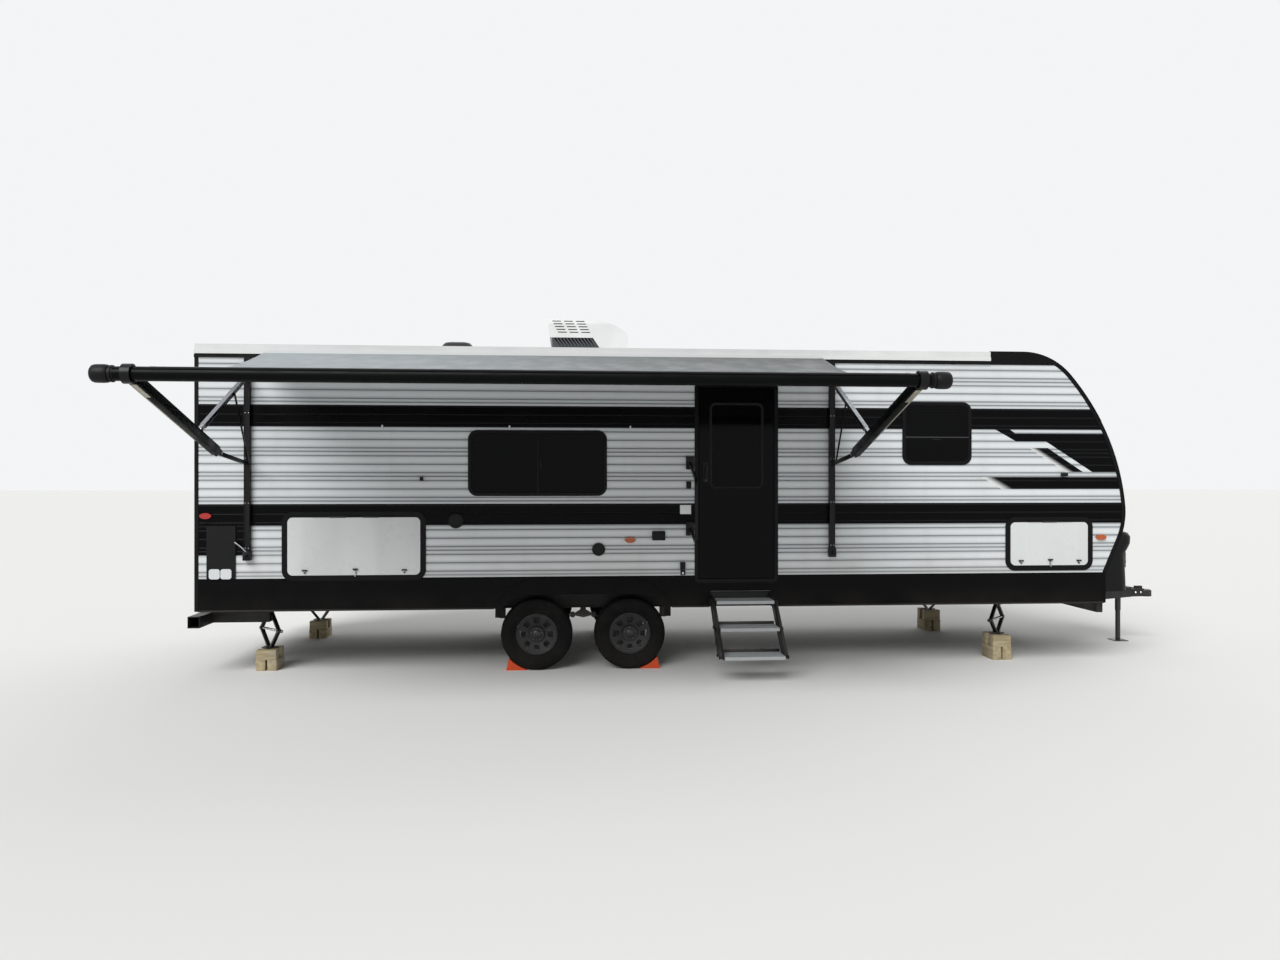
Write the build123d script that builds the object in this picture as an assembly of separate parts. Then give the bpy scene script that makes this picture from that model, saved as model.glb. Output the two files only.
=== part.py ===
from build123d import *
import math
import os

# Tandem-axle travel trailer, parked on its tyres, tongue jack and corner jacks, with the awning out.
# Millimetres. +X points to the hitch, +Z up, and the side with the entry door and awning faces -Y.
# The origin is the middle of the tongue jack's foot, on the ground.

# Body shell
body_width = 2438
body_rear_x = -9292
nose_x = -682
roof_z = 2961
siding_bottom_z = 870
skirt_bottom_z = 580
floor_top_z = 800
floor_thickness = 80
wall_thickness = 45
siding_depth = 8
groove_depth = 5
groove_width = 14
first_groove = 55
groove_pitches = (76, 76, 38, 33)
skirt_thickness = 4
seat_gap = 0.3
half_width = body_width / 2
wall_outer_y = half_width - siding_depth
wall_inner_y = wall_outer_y - wall_thickness
floor_bottom_z = floor_top_z - floor_thickness
shell_depth = siding_depth + wall_thickness
ceiling_z = roof_z - shell_depth

# Nose outline from the roof down: how far behind the nose and below the roof each arc ends
nose_start_back = 1008
nose_arcs = (
    # back, down
    (543, 211),
    (239, 653),
    (0, 1450),
    (50, 1775),
)
nose_foot_back = 188

# Black bands of siding, by the heights of their edges
siding_bands = (
    # bottom, top
    (1342, 1535),
    (2228, 2425),
)

# Black decals on the sides' siding: outlines by distance behind the nose and height
body_length = nose_x - body_rear_x
rear_decal_length = 462
decals = (
    ((1278, 2228), (1133, 2228), (1077, 2190), (0, 2190), (0, 1825), (321, 1825), (779, 2115), (1073, 2115)),
    ((945, 2054), (761, 2054), (413, 1826), (582, 1826)),
    ((1410, 1778), (0, 1778), (0, 1664), (1215, 1664)),
    ((body_length, 1080), (body_length, 1342), (body_length - rear_decal_length, 1342),
     (body_length - rear_decal_length, 1080)),
)

# Roof edge, gutter rail, corner trims and the nose's cap
rail_height = 70
rail_reach = 16
roof_edge_height = 51
roof_edge_reach = 8
siding_top_z = roof_z - roof_edge_height - rail_height
rail_groove = (24, 34)
rail_groove_depth = 12
cap_rear_x = -2008
cap_thickness = 6
cap_drop = 653
trim_width = 32
trim_thickness = 3

# Windows: frame ring over the siding, with the pane inside it
window_corner = 85
window_ring = 24
window_proud = 8
pane_thickness = 5
pane_recess = 4
divider_width = 14
sleeve_wall = 4
right_windows = (
    # middle x, middle z, width, height, upright divider, divider's offset from the middle
    (-6264, 1904, 1260, 600, True, 0),
    (-2527, 2188, 668, 591, False, -40),
)
left_windows = (
    (-7600, 1904, 1260, 600, True, 0),
    (-4700, 1990, 668, 591, False, -40),
    (-2527, 2188, 668, 591, False, -40),
)

# Hinged panels share these: the flange that frames the opening, the leaf and its hinge
flange_proud = 8
leaf_proud = 9
leaf_thickness = 40
hinge_reach = 6
knuckle_radius = 5
knuckle_length = 145
knuckle_end_gap = 0.3
hinge_plate = 3
edge_gap = 8
panel_sleeve = 2
flange_y = half_width + flange_proud
leaf_face_y = half_width + leaf_proud
hinge_y = leaf_face_y + hinge_reach

# Entry door
door_frame_width = 780
door_head_gap = 200
door_frame_height = siding_top_z - floor_top_z - door_head_gap
door_frame_x = -4435
door_frame_band = 34
door_corner = 40
door_window_width = 470
door_window_height = 760
door_window_drop = 150
door_hinge_share = 0.86
door_pane_recess = 2
door_stop_width = 12
handle_height = 980
handle_length = 180
handle_width = 52
handle_inset = 60
handle_plate_reach = 10
handle_grip_reach = 22

# Baggage doors: frame's outer size
baggage_band = 42
baggage_corner = 95
baggage_hinge_share = 0.8
baggage_doors = (
    # node, middle x, bottom z, frame width, frame height, side
    ("baggage_door_rear_right", -7904, 846, 1269, 618, -1),
    ("baggage_door_front_right", -1432, 891, 858, 508, -1),
    ("baggage_door_front_left", -1432, 891, 858, 508, 1),
)
latch_width = 13
latch_bar = 46
latch_reach = 12
latch_rise = 34
latches = (
    # place along the leaf as a share of its width, length
    (0.13, 34),
    (0.51, 52),
    (0.88, 34),
)

# Tandem fender skirts: half the outer width at the skirt's foot, at the shoulder and along the top
fender_half_widths = (800, 625, 440)
fender_top_z = 856
fender_shoulder_z = 800
fender_foot_z = 500
fender_band = 60
fender_reach = 12
fender_rib_width = 26
fender_rib_reach = 6
wheel_opening_z = 705

# Wheels and axles
tyre_radius = 330
tyre_width = 205
tyre_facets = 36
wall_radius = 252
shoulder_radius = 300
shoulder_width = 30
wall_lean = 5
bead_inset = 22
bead_radius = 206
tread_groove_y = 26
tread_groove_width = 12
tread_groove_depth = 9
rim_radius = 190
rim_width = 165
rim_wall = 10
rim_drop = 12
rim_slot_count = 8
rim_slot_radii = (154, 100)
rim_slot_width = 62
disc_dish = 34
disc_edge = 6
disc_swell = 4
hub_back_gap = 4
axle_middle_x = -5848
axle_spread = 858
tyre_inset = 50
wheel_y = half_width - tyre_inset - tyre_width / 2
axle_tube_radius = 38
spindle_radius = 22
spindle_gap = 0.1
hub_radius = 68
hub_clearance = 24
hub_face = 30
hub_cap_radius = 34
drum_radius = 150
drum_width = 62
drum_gap = 6

# Leaf springs
spring_length = 660
spring_width = 45
spring_leaf = 8
spring_leaves = 4
spring_sag = 60
spring_pad = 10
pad_half_length = 45
spring_leaf_step = 0.2
spring_eye_radius = 16
eye_radius = 24
hanger_half_length = 26
shackle_gap = 4.5
shackle_thickness = 7
pivot_gap = 0.3
spring_to_tyre = 95
hanger_pin_radius = 7
spring_eye_z = tyre_radius + axle_tube_radius + spring_pad + spring_leaves * spring_leaf + spring_sag

# Chassis, as far inside the tyres as the springs need
rail_y = wheel_y - tyre_width / 2 - spring_to_tyre
chassis_rail_height = 180
rail_flange = 58
rail_web = 6
rail_flange_thickness = 8
rail_front_x = -930
rail_rear_x = body_rear_x + 60
crossmember_spacing = 1180
crossmember_width = 46
crossmember_height = 110
crossmember_setback = 40
outrigger_tip = 30
step_clearance = 60
header_width = 60
rail_bottom_z = floor_bottom_z - chassis_rail_height
outrigger_thickness = 6

# A-frame, coupler and tongue jack
tongue_top_z = 580
tongue_height = 100
tongue_width = 50
tongue_root_y = 500
tongue_tip_y = 62
tongue_tip_x = 120
coupler_ball_x = 300
coupler_ball_z = 500
coupler_socket_radius = 29.8
coupler_nose_x = 372
coupler_neck = 30
coupler_neck_y = 46
coupler_skirt = 18
coupler_height = 84
coupler_socket_depth = 48
latch_arm = 80
tongue_plate = 8
jack_plate_rear_x = -70
jack_plate_margin = 40
jack_flange_radius = 52
jack_tube_radius = 29
jack_inner_radius = 25
jack_foot_size = 150
jack_foot_thickness = 8
jack_tube_bottom_z = 330
jack_head_bottom_z = 800
jack_head_height = 170
jack_head_half = (70, 55)

# Gas bottle cover
cover_rear_x = -610
cover_front_x = -90
cover_half_width = 370
cover_top_z = 1170
cover_corner = 110
cover_top_radius = 36
cover_sections = (
    # share of the height, how much smaller all round
    (0, 0),
    (0.78, 14),
    (1, 62),
)

# Rear bumper
bumper_size = 102
bumper_wall = 4
bumper_overhang = 66
bumper_rear_x = body_rear_x - bumper_overhang
bumper_bottom_z = 432
bumper_bracket = 20

# Corner jacks and their wooden blocks
corner_jacks = (
    # x, block height, turn about the upright in degrees, end of the screw that takes the crank
    (-8750, 190, -45, 1),
    (-1780, 240, 45, -1),
)
block_size = 240
jack_arm_width = 34
jack_arm_thickness = 18
jack_arm_wall = 3
jack_half_span = 160
jack_base_size = 110
jack_crank_reach = 40
jack_base_thickness = 10
jack_end_gap = 4
jack_end_spread = 26
jack_nut_radius = 15
jack_screw_radius = 9

# Entry steps
step_width = 525
step_x = -4395
step_depth = 230
step_thickness = 28
steps = (
    # tread top z, middle's distance outboard of the wall
    (660, 130),
    (450, 350),
    (240, 570),
)
stringer_thickness = 8
stringer_depth = 60
step_riser = 12

# Awning
awning_arm_x = (-8829, -3541)
channel_width = 52
channel_depth = 42
channel_top_z = 2840
channel_bottom_z = 1085
pivot_radius = 6
lug_thickness = 4
lug_half_height = 14
roller_head_wall = 14
roller_head_width = 60
roller_out = 2240
roller_z = 2440
roller_radius = 52
roller_cap_radius = 61
roller_cap_length = 150
roller_ends_x = (-9064, -3333)
cloth_x = (-8696, -3622)
cloth_thickness = 6
cloth_sag = 100
outer_arm_size = (46, 56)
inner_arm_size = (28, 34)
link_size = (24, 22)
strut_size = (10, 20)
outer_arm_root = (700, 1970)
inner_arm_root = (66, 2660)
inner_arm_tip = (1080, 2140)
link_root = (64, 1900)
strut_share = 0.34
strut_gap = 7

# Roof fittings
unit_x = (-6200, -5390)
unit_width = 700
unit_top_z = 3380
unit_base_height = 70
unit_rake = 24
unit_flat = 400
unit_nose_drop = 157
unit_corner = 60
unit_grille_drop = 194
unit_grille_reach = (458, 560)
unit_base_inset = 24
unit_slot_rows = 5
unit_slot_columns = 3
unit_slot_start = 50
unit_slot_lean = 14
unit_slot_pitch_x = 118
unit_slot_pitch_z = 28
unit_slot_length = 88
unit_slot_height = 10
unit_slot_depth = 22
unit_fin_count = 12
unit_fin_pitch = 34
unit_fin_width = 14
vent_x = -7125
vent_size = 360
vent_height = 60
vent_rim = 15
vent_seal = 8
vent_lip = 6
vent_hinge_reach = 12
vent_knuckle_y = 70
vent_knuckle_length = 40
lid_thickness = 18
stack_x = -7695
stack_y = 300
stack_radius = 60
stack_height = 70

# Lamps, small fittings and chocks
lamp_proud = 22
amber_lamps = (
    # x, z, side
    (-924, 1205, -1),
    (-5422, 1199, -1),
    (-924, 1205, 1),
    (-5422, 1199, 1),
)
red_lamps = (
    (-9195, 1430, -1),
    (-9195, 1430, 1),
)
lamp_size = (100, 52)
corner_panel_x = (-9188, -8938)
corner_panel_z = 1341
corner_panel_proud = 10
round_covers = (
    # x, z, radius
    (-5711, 1115, 60),
    (-7002, 1378, 66),
)
round_cover_reach = 14
round_cover_dome = 20
round_cover_share = 0.7
outlet_x = -5159
outlet_z = 1238
outlet_size = (120, 84)
outlet_reach = 26
wall_catches = (
    # x, z, width, height, reach
    (-7306, 1760, 26, 34, 40),
    (-1291, 1801, 52, 30, 40),
    (-4880, 1704, 44, 66, 18),
    (-4937, 963, 46, 60, 30),
)
clear_lenses = (
    # x, z, width, height, how far off the wall it starts, reach
    (-9117, 914, 94, 90, 10, 12),
    (-9017, 914, 94, 90, 10, 12),
    (-7656, 2226, 14, 38, 0, 14),
    (-6520, 2226, 14, 38, 0, 14),
    (-5420, 2226, 14, 38, 0, 14),
    (-4937, 903, 46, 54, 0, 26),
)
tail_lamp_size = (150, 150)
tail_lamp_y = 980
tail_lamp_z = 1000
clearance_lamp_size = (100, 35)
clearance_lamp_pitch = 200
clearance_lamp_z = 2798
hatch_covers = (
    # x, z, width, height, corner, reach
    (-6900, 1120, 340, 340, 18, 14),
    (-8700, 1180, 124, 124, 60, 30),
    (-8400, 1180, 150, 150, 14, 20),
)
chock_length = 190
chock_width = 140
chock_height = 130
chock_gap = 5
chock_toe = 90
chock_rake = 30
handle_gap = 43
handle_x = door_frame_x - door_frame_width / 2 - handle_gap
handle_radius = 14
handle_reach = 440
handle_bend = 60
handle_mount = 76
handle_mount_heights = (1907, 1298)
handle_grip_heights = (1740, 1190)


def block(x0, x1, y0, y1, z0, z1):
    """A box between six planes."""
    middle = Pos((x0 + x1) / 2, (y0 + y1) / 2, (z0 + z1) / 2)
    return middle * Box(x1 - x0, y1 - y0, z1 - z0)


def across(face, y0, y1):
    """A face drawn in side view (x, z), extruded from y0 to y1."""
    return extrude(Plane.XZ.offset(-y1) * face, amount=y1 - y0)


def along(face, x0, x1):
    """A face drawn in end view (y, z), extruded from x0 to x1."""
    return extrude(Plane.YZ.offset(x0) * face, amount=x1 - x0)


def right_and_left(shape):
    """The shape and its mirror image on the other side of the trailer."""
    return shape + mirror(shape, Plane.XZ)


def bar(start, end, width, depth, x):
    """A flat bar across the wall's view: from start to end (outboard, z), width along X, depth in the plane."""
    run = end[0] - start[0]
    rise = end[1] - start[1]
    length = math.hypot(run, rise)
    tilt = math.degrees(math.atan2(rise, run))
    flat = Pos(0, length / 2, 0) * Box(width, length, depth)
    return Pos(x, -half_width - start[0], start[1]) * Rot(-tilt, 0, 0) * Rot(0, 0, 180) * flat


def side_outline(inset=0, bottom_z=skirt_bottom_z):
    """The body's side view: flat roof, curved nose, upright rear and level underside."""
    roof_line = Line((body_rear_x, roof_z), (nose_x - nose_start_back, roof_z))
    edges = [roof_line]
    for back, down in nose_arcs:
        edges.append(TangentArc(edges[-1] @ 1, (nose_x - back, roof_z - down), tangent=edges[-1] % 1))
    foot_x = nose_x - nose_foot_back
    corners = ((foot_x, siding_bottom_z), (foot_x, bottom_z), (body_rear_x, bottom_z), (body_rear_x, roof_z))
    edges.append(Polyline(edges[-1] @ 1, *corners))
    face = make_face(edges)
    if inset:
        face = offset(face, -inset, kind=Kind.INTERSECTION)
    return face


def window_opening(row, margin=0):
    """The hole for a window in side view, smaller than its ring by the margin."""
    middle_x, middle_z, width, height = row[:4]
    size = (width - 2 * margin, height - 2 * margin)
    return Pos(middle_x, middle_z) * RectangleRounded(*size, window_corner - margin)


def frame_opening(width, height, band, corner):
    """The hole inside a hinged panel's frame, about its middle."""
    return RectangleRounded(width - 2 * band, height - 2 * band, max(corner - band, 5))


def side_holes(side):
    """Every hole through one side wall, in side view."""
    windows = right_windows if side < 0 else left_windows
    holes = [window_opening(window, window_ring) for window in windows]
    for _, x, bottom_z, width, height, door_side in baggage_doors:
        if door_side == side:
            hole = frame_opening(width, height, baggage_band, baggage_corner)
            holes.append(Pos(x, bottom_z + height / 2) * hole)
    if side < 0:
        hole = frame_opening(door_frame_width, door_frame_height, door_frame_band, door_corner)
        holes.append(Pos(door_frame_x, floor_top_z + door_frame_height / 2) * hole)
    return holes


def cut_side_holes(panel, side):
    """The panel with one side's holes cut through it."""
    low, high = sorted((0, side * body_width))
    for hole in side_holes(side):
        panel -= across(hole, low, high)
    return panel


def side_wall(side):
    """A wall from the floor's underside to the roof, with its windows and doors cut."""
    low, high = sorted((side * wall_outer_y, side * wall_inner_y))
    wall = across(side_outline(siding_depth, floor_bottom_z - siding_depth), low, high)
    return cut_side_holes(wall, side)


def groove_heights(top_z):
    """Heights of the siding's grooves, by the repeat of its pitches."""
    heights = [siding_bottom_z + first_groove]
    while heights[-1] < top_z - max(groove_pitches):
        heights.append(heights[-1] + groove_pitches[(len(heights) - 1) % len(groove_pitches)])
    return heights


def corrugated_section(bottom_z, top_z):
    """End view of siding between two heights: flat face with V grooves, outer face at y = 0."""
    points = [(siding_depth, bottom_z), (0, bottom_z)]
    for z in groove_heights(top_z):
        if bottom_z + groove_width < z < top_z - groove_width:
            points += [(0, z - groove_width / 2), (groove_depth, z), (0, z + groove_width / 2)]
    points += [(0, top_z), (siding_depth, top_z)]
    return make_face(Polyline(*points, close=True))


def siding_strips(spans):
    """Strips of siding on the right side, each between two heights, cut to the nose and the holes."""
    strips = []
    outline = across(side_outline(siding_depth), -half_width, -wall_outer_y)
    for bottom_z, top_z in spans:
        section = Pos(-half_width, 0) * corrugated_section(bottom_z, top_z)
        strips.append(along(section, body_rear_x, nose_x) & outline)
    return Part() + strips


def plain_spans():
    """The white siding's spans, between and beside the black bands."""
    edges = [siding_bottom_z]
    for bottom_z, top_z in siding_bands:
        edges += [bottom_z, top_z]
    edges.append(siding_top_z)
    return list(zip(edges[::2], edges[1::2]))


def decal_prism():
    """The black decals' outlines, through the right side's siding."""
    faces = [make_face(Polyline(*[(nose_x - back, z) for back, z in row], close=True)) for row in decals]
    return across(Sketch() + faces, -half_width - siding_depth, -wall_outer_y + siding_depth)


def ring(outer, inner, y0, y1):
    """A flat frame in side view between two outlines."""
    return across(outer - inner, y0, y1)


def window(row, side):
    """One window's frame and its pane, in place on a side wall."""
    middle_x, middle_z, width, height, upright, divider_offset = row
    inner = window_opening(row, window_ring + sleeve_wall)
    flange = ring(window_opening(row), inner, -half_width - window_proud, -half_width)
    sleeve = ring(window_opening(row, window_ring), inner, -half_width, -wall_inner_y)
    if upright:
        divider = Pos(middle_x + divider_offset, middle_z) * Rectangle(divider_width, height)
    else:
        divider = Pos(middle_x, middle_z + divider_offset) * Rectangle(width, divider_width)
    pane_y = -half_width - window_proud + pane_recess
    frame = flange + sleeve + across(divider & inner, pane_y - pane_recess, pane_y)
    pane = across(inner, pane_y, pane_y + pane_thickness)
    if side > 0:
        frame = mirror(frame, Plane.XZ)
        pane = mirror(pane, Plane.XZ)
    return frame, pane


def windows():
    """The frames and the panes of every window."""
    frames = []
    panes = []
    for rows, side in ((right_windows, -1), (left_windows, 1)):
        for row in rows:
            frame, pane = window(row, side)
            frames.append(frame)
            panes.append(pane)
    return Part() + frames, Part() + panes


def knuckle_spans(length):
    """Spans of the hinge's knuckles along its pin, frame and leaf in turn."""
    count = int(length // knuckle_length) // 2 * 2 - 1
    pitch = knuckle_length
    start = -count * pitch / 2
    return [(start + i * pitch, start + (i + 1) * pitch - knuckle_end_gap) for i in range(count)]


def hinge_side(length, first, plate_z, plate_y):
    """Every second knuckle of a hinge along X at the origin, with a plate that reaches plate_z at plate_y."""
    parts = []
    low, high = sorted((0, plate_z))
    for start, end in knuckle_spans(length)[first::2]:
        barrel = Pos((start + end) / 2, 0, 0) * Rot(0, 90, 0) * Cylinder(knuckle_radius, end - start)
        parts.append(barrel)
        parts.append(block(start, end, plate_y, plate_y + hinge_plate, low, high))
    return Part() + parts


def hinged_panel(width, height, band, corner, hinge_length):
    """A frame and its leaf about the hinge: pin along X at the origin, leaf hanging to -Z, outside at -Y."""
    leaf_width = width - 2 * band - 2 * edge_gap
    leaf_height = height - 2 * band - 2 * edge_gap
    hinge_above_leaf = edge_gap + 1
    middle_z = -hinge_above_leaf - leaf_height / 2
    outer = Pos(0, middle_z) * RectangleRounded(width, height, corner)
    inner = Pos(0, middle_z) * frame_opening(width, height, band, corner)
    flange_back = hinge_y - half_width
    flange_front = hinge_y - flange_y
    frame = across(outer - inner, flange_front, flange_back)
    sleeve_hole = offset(inner, -panel_sleeve, kind=Kind.ARC)
    frame += across(inner - sleeve_hole, flange_front, hinge_y - wall_inner_y)
    frame += hinge_side(hinge_length, 0, edge_gap + panel_sleeve, flange_front - hinge_plate)
    leaf_face = Pos(0, middle_z) * RectangleRounded(leaf_width, leaf_height, max(corner - band - edge_gap, 5))
    leaf = across(leaf_face, hinge_reach, hinge_reach + leaf_thickness)
    leaf += hinge_side(hinge_length, 1, -hinge_above_leaf - hinge_plate, hinge_reach - hinge_plate)
    return frame, leaf, (leaf_width, leaf_height, middle_z)


def baggage_hatch(row):
    """A baggage door's frame and leaf on their side wall, with the latches along its lower edge."""
    _, x, bottom_z, width, height, side = row
    frame, leaf, (leaf_width, leaf_height, middle_z) = hinged_panel(
        width, height, baggage_band, baggage_corner, width * baggage_hinge_share
    )
    latch_z = middle_z - leaf_height / 2 + latch_rise
    latch_y = hinge_reach - latch_reach
    for share, length in latches:
        latch_x = leaf_width * (share - 0.5)
        latch_top = latch_z + length / 2
        leaf += block(latch_x - latch_width / 2, latch_x + latch_width / 2, latch_y, hinge_reach,
                      latch_z - length / 2, latch_top)
        leaf += block(latch_x - latch_bar / 2, latch_x + latch_bar / 2, latch_y, hinge_reach,
                      latch_top - latch_width, latch_top)
    hinge_z = bottom_z + height / 2 - middle_z
    place = Pos(x, -hinge_y, hinge_z)
    if side > 0:
        place = Pos(x, hinge_y, hinge_z) * Rot(0, 0, 180)
    return place * frame, place * leaf


def entry_door():
    """The entry door's frame, leaf, pane and handle, hinged on the edge nearest the hitch."""
    frame, leaf, (leaf_height, leaf_width, middle) = hinged_panel(
        door_frame_height, door_frame_width, door_frame_band, door_corner, door_frame_height * door_hinge_share
    )
    pane_drop = leaf_height / 2 - door_window_drop - door_window_height / 2
    pane_face = Pos(-pane_drop, middle) * RectangleRounded(door_window_height, door_window_width, door_corner)
    leaf -= across(pane_face, 0, hinge_reach + leaf_thickness + 1)
    pane_y = hinge_reach + door_pane_recess
    pane = across(pane_face, pane_y, pane_y + pane_thickness)
    stop_y = pane_y + pane_thickness + 1
    stop_face = pane_face - offset(pane_face, -door_stop_width)
    leaf += across(stop_face, stop_y, hinge_reach + leaf_thickness)
    handle_middle = leaf_height / 2 - handle_height
    handle_edge = middle - leaf_width / 2 + handle_inset
    plate_y = hinge_reach - handle_plate_reach
    handle = block(handle_middle - handle_length / 2, handle_middle + handle_length / 2, plate_y, hinge_reach,
                   handle_edge - handle_width / 2, handle_edge + handle_width / 2)
    grip_y = plate_y - handle_grip_reach
    grip = block(handle_middle - handle_length / 3, handle_middle + handle_length / 3, grip_y, plate_y,
                 handle_edge - handle_width / 5, handle_edge + handle_width / 5)
    handle += fillet(grip.edges().filter_by(Axis.X), handle_width / 6)
    hinge_x = door_frame_x - middle
    place = Pos(hinge_x, -hinge_y, floor_top_z + door_frame_height / 2) * Rot(0, 90, 0)
    return [place * piece for piece in (frame, leaf, pane, handle)]


def tyre():
    """A tyre about the Y axis at the origin: dished beads, walls and two tread grooves, in flat facets."""
    half = tyre_width / 2
    bead = half - bead_inset
    right = [(bead_radius, -bead), (wall_radius, -half), (shoulder_radius, -half + wall_lean),
             (tyre_radius, -half + shoulder_width)]
    tread = []
    for middle in (-tread_groove_y, tread_groove_y):
        tread += [(tyre_radius, middle - tread_groove_width),
                  (tyre_radius - tread_groove_depth, middle - tread_groove_width / 2),
                  (tyre_radius - tread_groove_depth, middle + tread_groove_width / 2),
                  (tyre_radius, middle + tread_groove_width)]
    left = [(radius, -y) for radius, y in reversed(right)]
    half_turn = math.pi / tyre_facets
    flats = [(radius * math.cos(half_turn), y) for radius, y in right + tread + left]
    section = make_face(Polyline((rim_radius, -bead), *flats, (rim_radius, bead), close=True))
    reach = tyre_radius * math.tan(half_turn)
    facet = extrude(Plane.XY.offset(-reach) * section, amount=2 * reach)
    for way in (-1, 1):
        side = Plane(origin=(0, 0, 0), z_dir=(math.sin(half_turn), 0, -way * math.cos(half_turn)))
        facet = split(facet, bisect_by=side, keep=Keep.TOP)
    return Part() + [Rot(0, (i + 0.5) * 360 / tyre_facets, 0) * facet for i in range(tyre_facets)]


def rim():
    """A rim about the Y axis: barrel, dished disc with slots, and hub with its bore, outside at -Y."""
    half = rim_width / 2
    seat = rim_radius - seat_gap
    inside = rim_radius - rim_wall
    barrel_face = make_face(Polyline((seat, -half), (seat, half), (inside, half), (inside - rim_drop, 0),
                                     (inside, -half), close=True))
    disc_y = -half + disc_dish
    disc_face = make_face(Polyline(
        (hub_radius / 2, disc_y), (inside, -half + disc_edge), (inside, -half + disc_edge + rim_wall),
        (hub_radius, disc_y + rim_wall + disc_swell), (hub_radius / 2, disc_y + rim_wall + disc_swell),
        close=True))
    wheel = revolve(barrel_face, Axis.Y) + revolve(disc_face, Axis.Y)
    slot_outer, slot_inner = rim_slot_radii
    slot_face = make_face(Polyline(
        (slot_outer, -rim_slot_width / 2), (slot_outer, rim_slot_width / 2),
        (slot_inner, rim_slot_width / 3), (slot_inner, -rim_slot_width / 3), close=True))
    slot = across(slot_face, -half, half)
    wheel -= [Rot(0, i * 360 / rim_slot_count, 0) * slot for i in range(rim_slot_count)]
    hub_back = half - drum_width - hub_clearance
    hub_length = hub_back + half - hub_back_gap
    wheel += Pos(0, hub_back - hub_length / 2, 0) * Rot(90, 0, 0) * Cylinder(hub_radius, hub_length)
    wheel += Pos(0, -half, 0) * Rot(90, 0, 0) * Cylinder(hub_cap_radius, hub_cap_radius)
    bore_depth = hub_length - hub_face
    bore = Pos(0, hub_back - bore_depth / 2 + 1, 0) * Rot(90, 0, 0)
    wheel -= bore * Cylinder(spindle_radius + spindle_gap, bore_depth + 2)
    return wheel, hub_back, bore_depth


def axle(x, hub_back, bore_depth):
    """One axle: tube, drums and the spindles that carry the wheels, with its spring pads."""
    drum_inner = wheel_y - rim_width / 2 - drum_gap
    drum_outer = wheel_y - hub_back - drum_gap
    spindle_end = wheel_y - hub_back + bore_depth - hub_back_gap
    middle = Pos(x, 0, tyre_radius) * Rot(90, 0, 0)
    tube = middle * Cylinder(axle_tube_radius, 2 * drum_inner)
    spindle = middle * Cylinder(spindle_radius, 2 * spindle_end)
    drum = Pos(x, (drum_inner + drum_outer) / 2, tyre_radius) * Rot(90, 0, 0)
    drum = drum * Cylinder(drum_radius, drum_outer - drum_inner)
    pad_top = tyre_radius + axle_tube_radius + spring_pad - seat_gap
    half = spring_width / 2
    pad = block(x - pad_half_length, x + pad_half_length, -rail_y - half, -rail_y + half, tyre_radius, pad_top)
    return tube + spindle + right_and_left(drum) + right_and_left(pad)


def equalizer():
    """The rocker plates between the two springs of one side, on a pin under the main rail."""
    reach = axle_spread / 2 - spring_length / 2
    pivot_z = (spring_eye_z + rail_bottom_z) / 2
    corners = ((-reach, spring_eye_z), (0, spring_eye_z - eye_radius), (reach, spring_eye_z),
               (0, pivot_z + eye_radius))
    face = make_face(Polyline(*corners, close=True))
    for x, z in ((-reach, spring_eye_z), (reach, spring_eye_z), (0, pivot_z)):
        face += Pos(x, z) * Circle(eye_radius)
    inner = spring_width / 2 + shackle_gap
    pieces = []
    for way in (-1, 1):
        low, high = sorted((way * inner, way * (inner + shackle_thickness)))
        pieces.append(across(Pos(axle_middle_x, 0) * face, -rail_y + low, -rail_y + high))
    hanger = block(axle_middle_x - hanger_half_length, axle_middle_x + hanger_half_length, -rail_y - inner + 1,
                   -rail_y + inner - 1, pivot_z - eye_radius, rail_bottom_z)
    pieces.append(hanger)
    pin_length = 2 * (inner + shackle_thickness)
    for x, z in ((-reach, spring_eye_z), (reach, spring_eye_z), (0, pivot_z)):
        pin = Pos(axle_middle_x + x, -rail_y, z) * Rot(90, 0, 0)
        pieces.append(pin * Cylinder(hanger_pin_radius, pin_length))
    return Part() + pieces


def spring_hanger(x):
    """A fixed hanger under the main rail for a spring's outer eye, with its pin."""
    inner = spring_width / 2 + shackle_gap
    outer = inner + shackle_thickness
    low = spring_eye_z - eye_radius
    pieces = [block(x - hanger_half_length, x + hanger_half_length, -rail_y - outer, -rail_y + outer,
                    rail_bottom_z - shackle_thickness, rail_bottom_z)]
    for way in (-1, 1):
        y0, y1 = sorted((-rail_y + way * inner, -rail_y + way * outer))
        pieces.append(block(x - hanger_half_length, x + hanger_half_length, y0, y1, low, rail_bottom_z))
    pieces.append(Pos(x, -rail_y, spring_eye_z) * Rot(90, 0, 0) * Cylinder(hanger_pin_radius, 2 * outer))
    return Part() + pieces


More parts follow.
